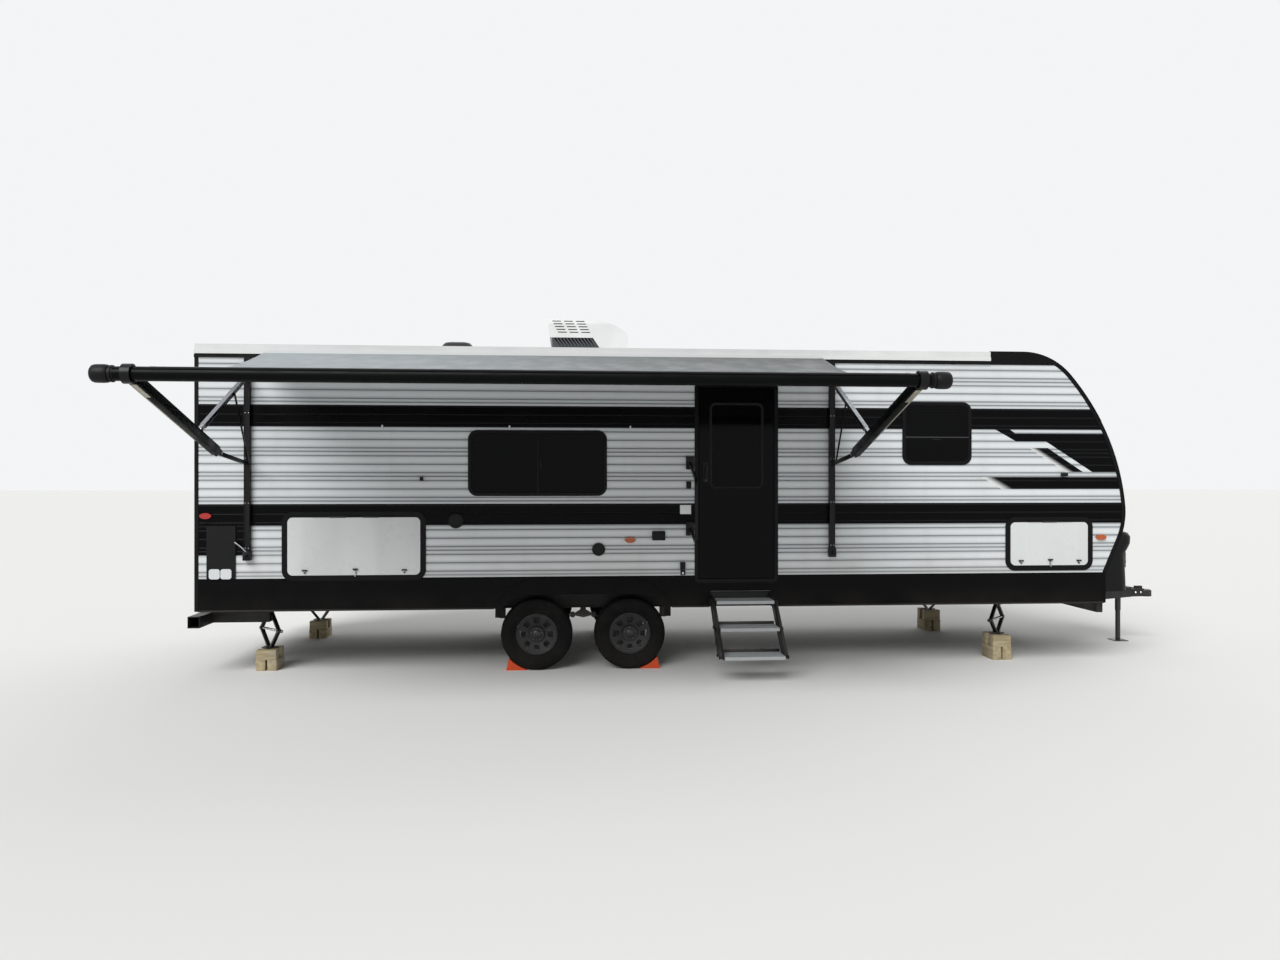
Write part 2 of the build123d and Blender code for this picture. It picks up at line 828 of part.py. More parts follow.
def leaf_spring(x):
    """A pack of curved leaves over one axle's end, on the right side."""
    half = spring_length / 2
    leaves = []
    for i in range(spring_leaves):
        reach = half * (1 - spring_leaf_step * i)
        drop = spring_sag * (reach / half) ** 2
        low = spring_eye_z - spring_sag - i * spring_leaf
        top = ThreePointArc((x - reach, low + drop), (x, low), (x + reach, low + drop))
        under = ThreePointArc((x + reach, low + drop - spring_leaf), (x, low - spring_leaf),
                              (x - reach, low + drop - spring_leaf))
        face = make_face([top, Line(top @ 1, under @ 0), under, Line(under @ 1, top @ 0)])
        leaves.append(across(face, -rail_y - spring_width / 2, -rail_y + spring_width / 2))
    ends = [Pos(x + end, -rail_y, spring_eye_z) * Rot(90, 0, 0) for end in (-half, half)]
    pack = Part() + leaves + [end * Cylinder(spring_eye_radius, spring_width) for end in ends]
    return pack - [end * Cylinder(hanger_pin_radius + pivot_gap, spring_width * 2) for end in ends]


def i_beam(x0, x1, y):
    """A main rail: flanges above and below an upright web."""
    top = floor_bottom_z
    low = rail_bottom_z
    web = block(x0, x1, y - rail_web / 2, y + rail_web / 2, low, top)
    half = rail_flange / 2
    flange = block(x0, x1, y - half, y + half, low, low + rail_flange_thickness)
    upper = block(x0, x1, y - half, y + half, top - rail_flange_thickness, top)
    return web + flange + upper


def crossmember_places():
    """X of each crossmember's rear face."""
    count = int((rail_front_x - rail_rear_x) // crossmember_spacing)
    return [rail_rear_x + crossmember_setback + i * crossmember_spacing for i in range(count + 1)]


def chassis():
    """Main rails with crossmembers, outriggers, spring hangers and the header that the A-frame is welded to."""
    pieces = [i_beam(rail_rear_x, rail_front_x, y) for y in (-rail_y, rail_y)]
    low = floor_bottom_z - crossmember_height
    outrigger = make_face(Polyline(
        (rail_y, floor_bottom_z), (wall_inner_y, floor_bottom_z),
        (wall_inner_y, floor_bottom_z - outrigger_tip), (rail_y, low), close=True))
    for x in crossmember_places():
        pieces.append(block(x, x + crossmember_width, -rail_y, rail_y, low, floor_bottom_z))
        left_plate = along(outrigger, x, x + outrigger_thickness)
        if abs(x - axle_middle_x) > axle_spread:
            pieces.append(left_plate)
            if abs(x - step_x) > step_width / 2 + step_clearance:
                pieces.append(mirror(left_plate, Plane.XZ))
    pieces.append(block(rail_front_x, rail_front_x + header_width, -wall_inner_y, wall_inner_y,
                        tongue_top_z - tongue_height, floor_bottom_z))
    outer_eye = axle_spread / 2 + spring_length / 2
    pieces += [right_and_left(spring_hanger(axle_middle_x + way * outer_eye)) for way in (-1, 1)]
    pieces.append(right_and_left(equalizer()))
    return Part() + pieces


def a_frame():
    """Two box tubes from the header to the coupler, with a plate that carries the jack."""
    root_x = rail_front_x + header_width
    low = tongue_top_z - tongue_height
    outer = make_face(Polyline(
        (root_x, tongue_root_y), (root_x, tongue_root_y - tongue_width),
        (tongue_tip_x, tongue_tip_y - tongue_width), (tongue_tip_x, tongue_tip_y), close=True))
    tube = extrude(Plane.XY.offset(low) * outer, amount=tongue_height)
    reach = tongue_tip_y + jack_plate_margin
    plate = block(jack_plate_rear_x, tongue_tip_x, -reach, reach, tongue_top_z, tongue_top_z + tongue_plate)
    return right_and_left(tube) + plate - Cylinder(jack_tube_radius + seat_gap, 4 * tongue_top_z)


def coupler():
    """A ball coupler: wedge body between the tubes, socket over the ball, latch on top."""
    neck_x = coupler_ball_x - coupler_neck
    low = coupler_ball_z - coupler_skirt
    radius = coupler_nose_x - coupler_ball_x
    body = make_face(Polyline((tongue_tip_x, -tongue_tip_y), (neck_x, -coupler_neck_y),
                              (neck_x, coupler_neck_y), (tongue_tip_x, tongue_tip_y), close=True))
    shell = extrude(Plane.XY.offset(low) * body, amount=coupler_height)
    dome = Pos(coupler_ball_x, 0, low + radius / 2) * Cylinder(radius, radius)
    dome = fillet(dome.edges().sort_by(Axis.Z)[-1:], radius / 4)
    socket = Pos(coupler_ball_x, 0, low + coupler_socket_depth / 2)
    latch = block(neck_x - latch_arm, neck_x, -coupler_neck_y / 3, coupler_neck_y / 3,
                  low + coupler_height, low + coupler_height + latch_arm / 3)
    return shell + dome + latch - socket * Cylinder(coupler_socket_radius, coupler_socket_depth)


def tongue_jack():
    """The tongue jack: foot, inner and outer tubes, mounting flange and motor head."""
    half = jack_foot_size / 2
    foot = block(-half, half, -half, half, 0, jack_foot_thickness)
    inner_length = jack_tube_bottom_z - jack_foot_thickness
    inner = Pos(0, 0, jack_foot_thickness + inner_length / 2) * Cylinder(jack_inner_radius, inner_length)
    outer_length = jack_head_bottom_z - jack_tube_bottom_z
    outer = Pos(0, 0, jack_tube_bottom_z + outer_length / 2) * Cylinder(jack_tube_radius, outer_length)
    head_x, head_y = jack_head_half
    head = block(-head_x, head_x, -head_y, head_y, jack_head_bottom_z, jack_head_bottom_z + jack_head_height)
    head = fillet(head.edges().filter_by(Axis.Z), head_y / 2)
    head = fillet(head.faces().sort_by(Axis.Z)[-1].edges(), head_y / 4)
    flange = Pos(0, 0, tongue_top_z + 1.5 * tongue_plate) * Cylinder(jack_flange_radius, tongue_plate)
    return foot + inner + outer + head + flange


def gas_cover():
    """The rounded cover over the gas bottles, standing on the A-frame and narrowing to its top."""
    middle_x = (cover_rear_x + cover_front_x) / 2
    length = cover_front_x - cover_rear_x
    width = 2 * cover_half_width
    sections = []
    for share, shrink in cover_sections:
        z = tongue_top_z + share * (cover_top_z - tongue_top_z)
        face = RectangleRounded(length - 2 * shrink, width - 2 * shrink, cover_corner - shrink / 2)
        sections.append(Pos(middle_x, 0, z) * face)
    shell = loft(sections, ruled=True)
    return fillet(shell.faces().sort_by(Axis.Z)[-1].edges(), cover_top_radius)


def bumper():
    """A hollow square tube across the rear, on two brackets."""
    front_x = bumper_rear_x + bumper_size
    top_z = bumper_bottom_z + bumper_size
    outer = block(bumper_rear_x, front_x, -wall_outer_y, wall_outer_y, bumper_bottom_z, top_z)
    inner = block(bumper_rear_x + bumper_wall, front_x - bumper_wall, -wall_outer_y, wall_outer_y,
                  bumper_bottom_z + bumper_wall, top_z - bumper_wall)
    bracket = block(front_x, rail_rear_x, -rail_y - bumper_bracket, -rail_y + bumper_bracket,
                    bumper_bottom_z + bumper_bracket, rail_bottom_z + chassis_rail_height / 2)
    return outer - inner + right_and_left(bracket)


def corner_jack(x, block_height, turn, crank_end):
    """A scissor jack of channel arms from the main rail to its block, on the right side, and the block."""
    top = rail_bottom_z
    low = block_height
    middle = (top + low) / 2
    half = jack_base_size / 2
    pieces = [block(-half, half, -half, half, z, z + jack_base_thickness)
              for z in (top - jack_base_thickness, low)]
    end_rise = jack_base_thickness + jack_end_gap
    for way in (-1, 1):
        knee = (way * jack_half_span, middle)
        for end, up in (((way * jack_end_spread, top - end_rise), 1), ((way * jack_end_spread, low + end_rise), -1)):
            tilt = math.degrees(math.atan2(end[1] - knee[1], end[0] - knee[0]))
            length = math.dist(knee, end) + jack_arm_thickness
            arm = Box(length, jack_arm_width, jack_arm_thickness)
            hollow = Box(length, jack_arm_width - 2 * jack_arm_wall, jack_arm_thickness)
            arm -= Pos(0, 0, -way * up * jack_arm_wall) * hollow
            pieces.append(Pos((knee[0] + end[0]) / 2, 0, (knee[1] + end[1]) / 2) * Rot(0, -tilt, 0) * arm)
        pieces.append(Pos(knee[0], 0, middle) * Rot(90, 0, 0) * Cylinder(jack_nut_radius, jack_arm_width))
    screw_length = 2 * jack_half_span + jack_crank_reach
    screw = Pos(crank_end * jack_crank_reach / 2, 0, middle) * Rot(0, 90, 0)
    pieces.append(screw * Cylinder(jack_screw_radius, screw_length))
    crank_socket = Pos(crank_end * (jack_half_span + jack_crank_reach), 0, middle) * Rot(0, 90, 0)
    pieces.append(crank_socket * Cylinder(jack_nut_radius, jack_crank_reach / 2))
    jack = Pos(x, -rail_y, 0) * Rot(0, 0, turn) * (Part() + pieces)
    half = block_size / 2
    wood = block(x - half, x + half, -rail_y - half, -rail_y + half, 0, block_height)
    return jack, wood


def step_stack():
    """Entry steps: three treads between two stringers that hang under the door sill."""
    pieces = []
    half_tread = step_width / 2
    for top_z, out in steps:
        y = -half_width - out
        pieces.append(block(step_x - half_tread, step_x + half_tread, y - step_depth / 2, y + step_depth / 2,
                            top_z - step_thickness, top_z))
    half = half_tread + stringer_thickness
    first_z = steps[0][0] - step_thickness / 2
    start = (steps[0][1], first_z)
    end = (steps[-1][1] + step_depth * 0.3, steps[-1][0] - step_thickness / 2)
    for edge in (-1, 1):
        x = step_x + edge * (half_tread + stringer_thickness / 2)
        pieces.append(bar(start, end, stringer_thickness, stringer_depth, x))
        pieces.append(block(x - stringer_thickness / 2, x + stringer_thickness / 2, -half_width - steps[0][1],
                            -wall_inner_y, first_z - stringer_depth / 2, first_z + stringer_depth / 2))
    top = floor_bottom_z - seat_gap
    pieces.append(block(step_x - half, step_x + half, -wall_inner_y, -wall_inner_y + step_riser,
                        skirt_bottom_z, top))
    pieces.append(block(step_x - half, step_x + half, -wall_inner_y, -rail_y - rail_flange / 2 - seat_gap,
                        top - stringer_depth, top))
    return Part() + pieces


def assist_handle():
    """The folding handle beside the door, swung out from the wall."""
    high_z, low_z = handle_mount_heights
    points = [(-half_width, high_z), (-half_width - handle_reach, handle_grip_heights[0]),
              (-half_width - handle_reach, handle_grip_heights[1]), (-half_width, low_z)]
    path = Plane.YZ.offset(handle_x) * FilletPolyline(*points, radius=handle_bend)
    profile = Plane(path @ 0, z_dir=path % 0) * Circle(handle_radius)
    tube = sweep(profile, path)
    tube = split(tube, Plane.XZ.offset(half_width + window_proud), keep=Keep.TOP)
    half = handle_mount / 2
    mounts = [
        block(handle_x - half, handle_x + half, -half_width - 2 * window_proud, -half_width,
              z - handle_mount * 0.8, z + handle_mount * 0.8)
        for z in handle_mount_heights
    ]
    return Part() + tube + mounts


def eyed_bar(start, end, size, x):
    """A bar with an eye at each end, from start to end (outboard, z), of a width along X and a depth."""
    width, depth = size
    run = end[0] - start[0]
    rise = end[1] - start[1]
    length = math.hypot(run, rise)
    tilt = math.degrees(math.atan2(rise, -run))
    face = SlotCenterToCenter(length, depth) - [
        Pos(end * length / 2, 0) * Circle(pivot_radius + pivot_gap) for end in (-1, 1)
    ]
    middle = Pos(-half_width - (start[0] + end[0]) / 2, (start[1] + end[1]) / 2)
    return along(middle * Rot(0, 0, tilt) * face, x - width / 2, x + width / 2)


def pivot(point, back, x, width, pin_end=0):
    """Two lugs that reach from a face to a point (outboard, z), with a pin across them."""
    out, z = point
    low, high = sorted((-half_width - back, -half_width - out - math.copysign(lug_half_height, out - back)))
    inner = width / 2 + 1
    lugs = [
        block(x - inner - lug_thickness, x - inner, low, high, z - lug_half_height, z + lug_half_height),
        block(x + inner, x + inner + lug_thickness, low, high, z - lug_half_height, z + lug_half_height),
    ]
    pin_x0 = x - inner - lug_thickness
    pin_x1 = x + inner + lug_thickness + pin_end
    pin = Pos((pin_x0 + pin_x1) / 2, -half_width - out, z) * Rot(0, 90, 0)
    return Part() + lugs + pin * Cylinder(pivot_radius, pin_x1 - pin_x0)


def awning_side(x):
    """One side of the awning: channel and outer arm, then the inner arm, the link and the gas strut."""
    channel = block(x - channel_width / 2, x + channel_width / 2, -half_width - channel_depth, -half_width,
                    channel_bottom_z, channel_top_z)
    strut_x = x + inner_arm_size[0] / 2 + lug_thickness + strut_gap
    strut_pin = strut_size[0] + strut_gap
    channel += pivot(inner_arm_root, channel_depth, x, inner_arm_size[0])
    channel += pivot(link_root, channel_depth, x, link_size[0], strut_pin)
    outer = bar(outer_arm_root, (roller_out, roller_z), *outer_arm_size, x)
    tube = Pos(x, -half_width - roller_out, roller_z) * Rot(0, 90, 0)
    outer += tube * Cylinder(roller_radius + roller_head_wall, roller_head_width)
    fork = Pos(x, -half_width - outer_arm_root[0], outer_arm_root[1]) * Rot(0, 90, 0)
    outer += fork * Cylinder(outer_arm_size[1] / 2, outer_arm_size[0])
    outer -= fork * Cylinder(outer_arm_size[1] * 0.75, link_size[0] + 2)
    outer += fork * Cylinder(pivot_radius, outer_arm_size[0])
    outer -= tube * Cylinder(roller_radius + seat_gap, roller_head_width * 2)
    outer += tip_bracket(x)
    inner = eyed_bar(inner_arm_root, inner_arm_tip, inner_arm_size, x)
    strut_top = tuple(a + (b - a) * strut_share for a, b in zip(inner_arm_root, inner_arm_tip))
    stub = Pos(x + inner_arm_size[0] / 2 + strut_gap, -half_width - strut_top[0], strut_top[1]) * Rot(0, 90, 0)
    inner += stub * Cylinder(pivot_radius, strut_pin + lug_thickness + 2)
    link = eyed_bar(link_root, outer_arm_root, link_size, x)
    strut = eyed_bar(link_root, strut_top, strut_size, strut_x)
    return channel + outer, [inner, link, strut]


def tip_bracket(x):
    """Lugs on the outer arm's upper face that carry the inner arm's tip."""
    width = inner_arm_size[0]
    inner = width / 2 + 1
    out, z = inner_arm_tip
    slope = (roller_z - outer_arm_root[1]) / (roller_out - outer_arm_root[0])
    arm_z = outer_arm_root[1] + slope * (out - outer_arm_root[0])
    pieces = []
    for x0, x1 in ((x - inner - lug_thickness, x - inner), (x + inner, x + inner + lug_thickness)):
        pieces.append(block(x0, x1, -half_width - out - lug_half_height, -half_width - out + lug_half_height,
                            arm_z, z + lug_half_height))
    pin = Pos(x, -half_width - out, z) * Rot(0, 90, 0) * Cylinder(pivot_radius, 2 * (inner + lug_thickness))
    return Part() + pieces + pin


def awning_roller():
    """The roller tube between its two end caps."""
    x0, x1 = roller_ends_x
    y = -half_width - roller_out
    tube = Pos((x0 + x1) / 2, y, roller_z) * Rot(0, 90, 0)
    tube = tube * Cylinder(roller_radius, x1 - x0 - roller_cap_length)
    caps = []
    for end, way in ((x0, 1), (x1, -1)):
        cap = Pos(end + way * roller_cap_length / 2, y, roller_z) * Rot(0, 90, 0)
        caps.append(cap * Cylinder(roller_cap_radius, roller_cap_length))
    return tube + caps


def awning_cloth():
    """The cloth from the rail on the wall to the roller, with its sag, as a thin sheet."""
    start = (-half_width - rail_reach - 1, siding_top_z + rail_height / 2)
    end = (-half_width - roller_out, roller_z + roller_radius + seat_gap)
    middle = ((start[0] + end[0]) / 2, (start[1] + end[1]) / 2 - cloth_sag)
    under = ThreePointArc(start, middle, end)
    lift = cloth_thickness
    over = ThreePointArc(*[(y, z + lift) for y, z in (end, middle, start)])
    face = make_face([under, Line(under @ 1, over @ 0), over, Line(over @ 1, under @ 0)])
    return along(face, *cloth_x)


def roof_unit():
    """The air conditioner: slotted cover, cut away at its lower rear over a dark base with slanted fins."""
    x0, x1 = unit_x
    half = unit_width / 2
    foot_z = roof_z + unit_base_height
    grille_z = unit_top_z - unit_grille_drop
    nose_top = unit_top_z - unit_nose_drop
    cover_edges = [Line((x0 + unit_rake, grille_z), (x0, unit_top_z))]
    cover_edges.append(Line((x0, unit_top_z), (x0 + unit_flat, unit_top_z)))
    cover_edges.append(TangentArc((x0 + unit_flat, unit_top_z), (x1, nose_top), tangent=(1, 0)))
    cover_edges.append(Polyline((x1, nose_top), (x1, foot_z), (x0 + unit_grille_reach[1], foot_z),
                                (x0 + unit_grille_reach[0], grille_z), (x0 + unit_rake, grille_z)))
    profile = across(make_face(cover_edges), -half, half)
    end_view = RectangleRounded(unit_width, unit_top_z - roof_z, unit_corner)
    cover = profile & along(Pos(0, (unit_top_z + roof_z) / 2) * end_view, x0 - 1, x1 + 1)
    slots = []
    for row in range(unit_slot_rows):
        z = unit_top_z - unit_slot_pitch_z * (row + 1.2)
        for column in range(unit_slot_columns):
            x = x0 + unit_slot_start + unit_slot_lean * row + unit_slot_pitch_x * column
            for way in (-1, 1):
                y0, y1 = sorted((way * half, way * (half - unit_slot_depth)))
                slots.append(block(x, x + unit_slot_length, y0, y1, z, z + unit_slot_height))
    cover -= slots
    inset = half - unit_base_inset
    base = across(make_face(Polyline(
        (x0 + unit_rake + unit_base_inset, roof_z), (x0 + unit_rake + unit_base_inset, grille_z),
        (x0 + unit_grille_reach[0], grille_z), (x0 + unit_grille_reach[1], foot_z),
        (x1 - unit_base_inset, foot_z), (x1 - unit_base_inset, roof_z), close=True)), -inset, inset)
    slant = unit_grille_reach[1] - unit_grille_reach[0]
    fins = []
    for i in range(unit_fin_count):
        x = x0 + unit_rake + unit_base_inset + i * unit_fin_pitch
        fin = make_face(Polyline((x, grille_z), (x + unit_fin_width, grille_z),
                                 (x + unit_fin_width + slant, foot_z), (x + slant, foot_z), close=True))
        fins.append(across(fin, -half, half))
    return cover, base + fins


def roof_vent():
    """The roof vent's base and its lid, hinged at the front edge."""
    half = vent_size / 2
    top = roof_z + vent_height
    ring_face = Rectangle(vent_size, vent_size) - Rectangle(vent_size - 2 * vent_rim, vent_size - 2 * vent_rim)
    base = Pos(vent_x, 0, roof_z) * extrude(ring_face, amount=vent_height - vent_seal)
    pin = Pos(vent_x + half + vent_hinge_reach, 0, top)
    rear_x = vent_x + half - vent_seal / 2
    lid = block(vent_x - half - vent_lip, vent_x + half, -half - vent_lip, half + vent_lip,
                top + seat_gap, top + lid_thickness)
    for way in (-1, 1):
        low, high = sorted((way * vent_knuckle_y, way * (vent_knuckle_y + vent_knuckle_length)))
        barrel = Rot(90, 0, 0) * Cylinder(knuckle_radius, vent_knuckle_length)
        base += pin * Pos(0, (low + high) / 2, 0) * barrel
        base += block(rear_x, pin.position.X + hinge_plate, low, high, top - vent_height / 2, top - hinge_plate)
        low, high = sorted((way * (vent_knuckle_y - knuckle_end_gap),
                            way * (vent_knuckle_y - knuckle_end_gap - vent_knuckle_length)))
        lid += pin * Pos(0, (low + high) / 2, 0) * barrel
        lid += block(rear_x, pin.position.X, low, high, top + 1, top + knuckle_radius)
    return base, lid


def ahead_of(x, low_z, high_z):
    """The side view's part ahead of x, between two heights."""
    return Pos(x + body_length / 2, (low_z + high_z) / 2) * Rectangle(body_length, high_z - low_z)


def nose_skin(outer_inset, inner_inset, y0, y1):
    """A layer that follows the nose from the roof to its foot, between two insets of the outline."""
    layer = side_outline(outer_inset) - side_outline(inner_inset)
    return across(layer & ahead_of(nose_x - nose_start_back, siding_bottom_z, roof_z + body_width), y0, y1)


def siding_sheets():
    """The white and the black siding, round both sides, the rear and the nose."""
    decal = decal_prism()
    full_height = [(siding_bottom_z, siding_top_z)]
    plain = siding_strips(plain_spans()) - decal
    black = siding_strips(siding_bands) + (siding_strips(full_height) & decal)
    nose = nose_skin(0, siding_depth, -wall_outer_y, wall_outer_y)
    black_slabs = [
        block(nose_x - nose_start_back, nose_x, -half_width, half_width, bottom_z, top_z)
        for bottom_z, top_z in siding_bands
    ]
    sheets = []
    noses = (nose - black_slabs, nose & (Part() + black_slabs))
    for strips, spans, front in zip((plain, black), (plain_spans(), siding_bands), noses):
        sheet = cut_side_holes(strips, -1) + cut_side_holes(mirror(strips, Plane.XZ), 1) + front
        for bottom_z, top_z in spans:
            rear = Pos(body_rear_x, 0) * corrugated_section(bottom_z, top_z)
            sheet += across(rear, -wall_outer_y, wall_outer_y)
        sheets.append(sheet)
    return sheets


def skirts():
    """Smooth panels under the siding on both sides, across the rear and under the nose, open at the wheels."""
    foot_x = nose_x - nose_foot_back
    panel = block(body_rear_x, foot_x, -half_width, -half_width + skirt_thickness,
                  skirt_bottom_z, siding_bottom_z)
    panel -= across(wheel_opening(), -half_width - skirt_thickness, -half_width + 2 * skirt_thickness)
    left = cut_side_holes(mirror(panel, Plane.XZ), 1)
    notch = step_width / 2 + stringer_thickness + step_clearance / 5
    panel -= block(step_x - notch, step_x + notch, -half_width - skirt_thickness,
                   -half_width + 2 * skirt_thickness, skirt_bottom_z, floor_bottom_z + skirt_thickness)
    ends = [block(body_rear_x, body_rear_x + skirt_thickness, -half_width + skirt_thickness,
                  half_width - skirt_thickness, skirt_bottom_z, siding_bottom_z)]
    ends.append(block(foot_x - skirt_thickness, foot_x, -half_width + skirt_thickness,
                      half_width - skirt_thickness, floor_bottom_z, siding_bottom_z))
    return cut_side_holes(panel, -1) + left + ends


def arch_outline():
    """The tandem fender skirt's outline in side view, round both wheels."""
    half_foot, half_shoulder, half_top = fender_half_widths
    half_view = [(-half_foot, fender_foot_z), (-half_foot, skirt_bottom_z + fender_band),
                 (-half_shoulder, fender_shoulder_z), (-half_top, fender_top_z)]
    points = half_view + [(-x, z) for x, z in reversed(half_view)]
    return Pos(axle_middle_x, 0) * make_face(Polyline(*points, close=True))


def wheel_opening():
    """The hole around both wheels in side view, up to just under the floor."""
    half_foot, half_shoulder, _ = fender_half_widths
    half_view = [(-half_foot + fender_band, fender_foot_z - fender_band),
                 (-half_foot + fender_band, skirt_bottom_z), (-half_shoulder, wheel_opening_z)]
    points = half_view + [(-x, z) for x, z in reversed(half_view)]
    return Pos(axle_middle_x, 0) * make_face(Polyline(*points, close=True))


def fender_skirt():
    """The moulding around the wheel opening, on the right side, with a raised rib along its outer edge."""
    outline = arch_outline()
    face = outline - wheel_opening()
    rib = face - offset(outline, -fender_rib_width, kind=Kind.INTERSECTION)
    base = across(face, -half_width - fender_reach, -half_width)
    return base + across(rib, -half_width - fender_reach - fender_rib_reach, -half_width - fender_reach)


def nose_cap():
    """The smooth cap over the roof's front, with cheeks and edge trims that follow the nose to its foot."""
    outer = side_outline(-cap_thickness)
    top = roof_z + body_width
    over = (outer - side_outline()) & ahead_of(cap_rear_x, roof_z - cap_drop, top)
    skin = across(over, -half_width - roof_edge_reach, half_width + roof_edge_reach)
    cheek_face = outer & ahead_of(cap_rear_x, siding_top_z, top)
    cheek = across(cheek_face, -half_width - roof_edge_reach, -wall_outer_y)
    below = ahead_of(cap_rear_x, siding_bottom_z, siding_top_z)
    band = across((outer - side_outline(siding_depth)) & below, -half_width - trim_thickness, -wall_outer_y)
    band += across((outer - side_outline(trim_width)) & below, -half_width - trim_thickness, -half_width)
    return skin + right_and_left(cheek) + right_and_left(band)


def roof_edges():
    """White edges over the tops of the side walls, from the rear to the nose's cap."""
    low = roof_z - roof_edge_height
    edge = block(body_rear_x, cap_rear_x, -half_width - roof_edge_reach, -wall_outer_y, low, roof_z)
    edge += block(body_rear_x, cap_rear_x, -wall_outer_y, -wall_inner_y, roof_z - siding_depth, roof_z)
    rear = block(body_rear_x, body_rear_x + siding_depth, -wall_inner_y, wall_inner_y, siding_top_z, roof_z)
    return right_and_left(edge) + rear


def black_trims():
    """Gutter and awning rails along both sides, and angles on the rear corners."""
    rear_x = body_rear_x - trim_thickness
    face_y = -half_width - rail_reach
    rail = block(rear_x, cap_rear_x, face_y, -wall_outer_y, siding_top_z, siding_top_z + rail_height)
    rail -= block(rear_x, cap_rear_x, face_y, face_y + rail_groove_depth,
                  siding_top_z + rail_groove[0], siding_top_z + rail_groove[1])
    corner = block(rear_x, body_rear_x + trim_width, -half_width - trim_thickness, -half_width,
                   skirt_bottom_z, siding_top_z)
    corner += block(rear_x, body_rear_x, -half_width - trim_thickness, -half_width + trim_width,
                    skirt_bottom_z, siding_top_z)
    return right_and_left(rail) + right_and_left(corner)


def lamps(rows):
    """Oval marker lamps on the side walls."""
    pieces = []
    for x, z, side in rows:
        face = Pos(x, z) * Ellipse(lamp_size[0] / 2, lamp_size[1] / 2)
        low, high = sorted((side * half_width, side * (half_width + lamp_proud)))
        pieces.append(across(face, low, high))
    return Part() + pieces


def side_fittings():
    """Small pieces on the right wall: corner panel, round covers, outlet cover, door catches and latch box."""
    y = -half_width
    panel = block(*corner_panel_x, y - corner_panel_proud, y, siding_bottom_z, corner_panel_z)
    outlet_face = Pos(outlet_x, outlet_z) * RectangleRounded(*outlet_size, outlet_size[1] / 10)
    outlet = across(outlet_face, y - outlet_reach, y)
    pieces = [panel, outlet]
    for x, z, radius in round_covers:
        pieces.append(across(Pos(x, z) * Circle(radius), y - round_cover_reach, y))
        pieces.append(across(Pos(x, z) * Circle(radius * round_cover_share), y - round_cover_dome, y))
    for x, z, width, height, reach in wall_catches:
        pieces.append(block(x - width / 2, x + width / 2, y - reach, y, z - height / 2, z + height / 2))
    return Part() + pieces


def clear_lamps():
    """Clear lenses: the pair in the rear corner panel, the awning lights' clips and the step light."""
    y = -half_width
    pieces = []
    for x, z, width, height, back, reach in clear_lenses:
        face = Pos(x, z) * RectangleRounded(width, height, min(width, height) / 4)
        pieces.append(across(face, y - back - reach, y - back))
    return Part() + pieces


def tail_lamps():
    """Square tail lamps on the rear wall, and a row of three clearance lamps under the roof."""
    width, height = tail_lamp_size
    pieces = []
    for y in (-tail_lamp_y, tail_lamp_y):
        pieces.append(block(body_rear_x - lamp_proud, body_rear_x, y - width / 2, y + width / 2,
                            tail_lamp_z - height / 2, tail_lamp_z + height / 2))
    width, height = clearance_lamp_size
    for y in (-clearance_lamp_pitch, 0, clearance_lamp_pitch):
        pieces.append(block(body_rear_x - lamp_proud, body_rear_x, y - width / 2, y + width / 2,
                            clearance_lamp_z - height / 2, clearance_lamp_z + height / 2))
    return Part() + pieces


def wheel_chocks():
    """Wedges behind the rear tyre and ahead of the front tyre, on the right side."""
    pieces = []
    for way in (-1, 1):
        x = axle_middle_x + way * axle_spread / 2
        toe = x + way * chock_toe
        heel = toe + way * chock_length
        wedge = make_face(Polyline((toe, 0), (heel, 0), (heel - way * chock_rake, chock_height), close=True))
        wedge -= Pos(x, tyre_radius) * Circle(tyre_radius + chock_gap)
        pieces.append(across(wedge, -wheel_y - chock_width / 2, -wheel_y + chock_width / 2))
    return Part() + pieces


def service_hatches():
    """The far side's covers: water heater door, power inlet and water inlet."""
    pieces = []
    for x, z, width, height, corner, reach in hatch_covers:
        face = Pos(x, z) * RectangleRounded(width, height, corner)
        pieces.append(across(face, half_width, half_width + reach))
    return Part() + pieces


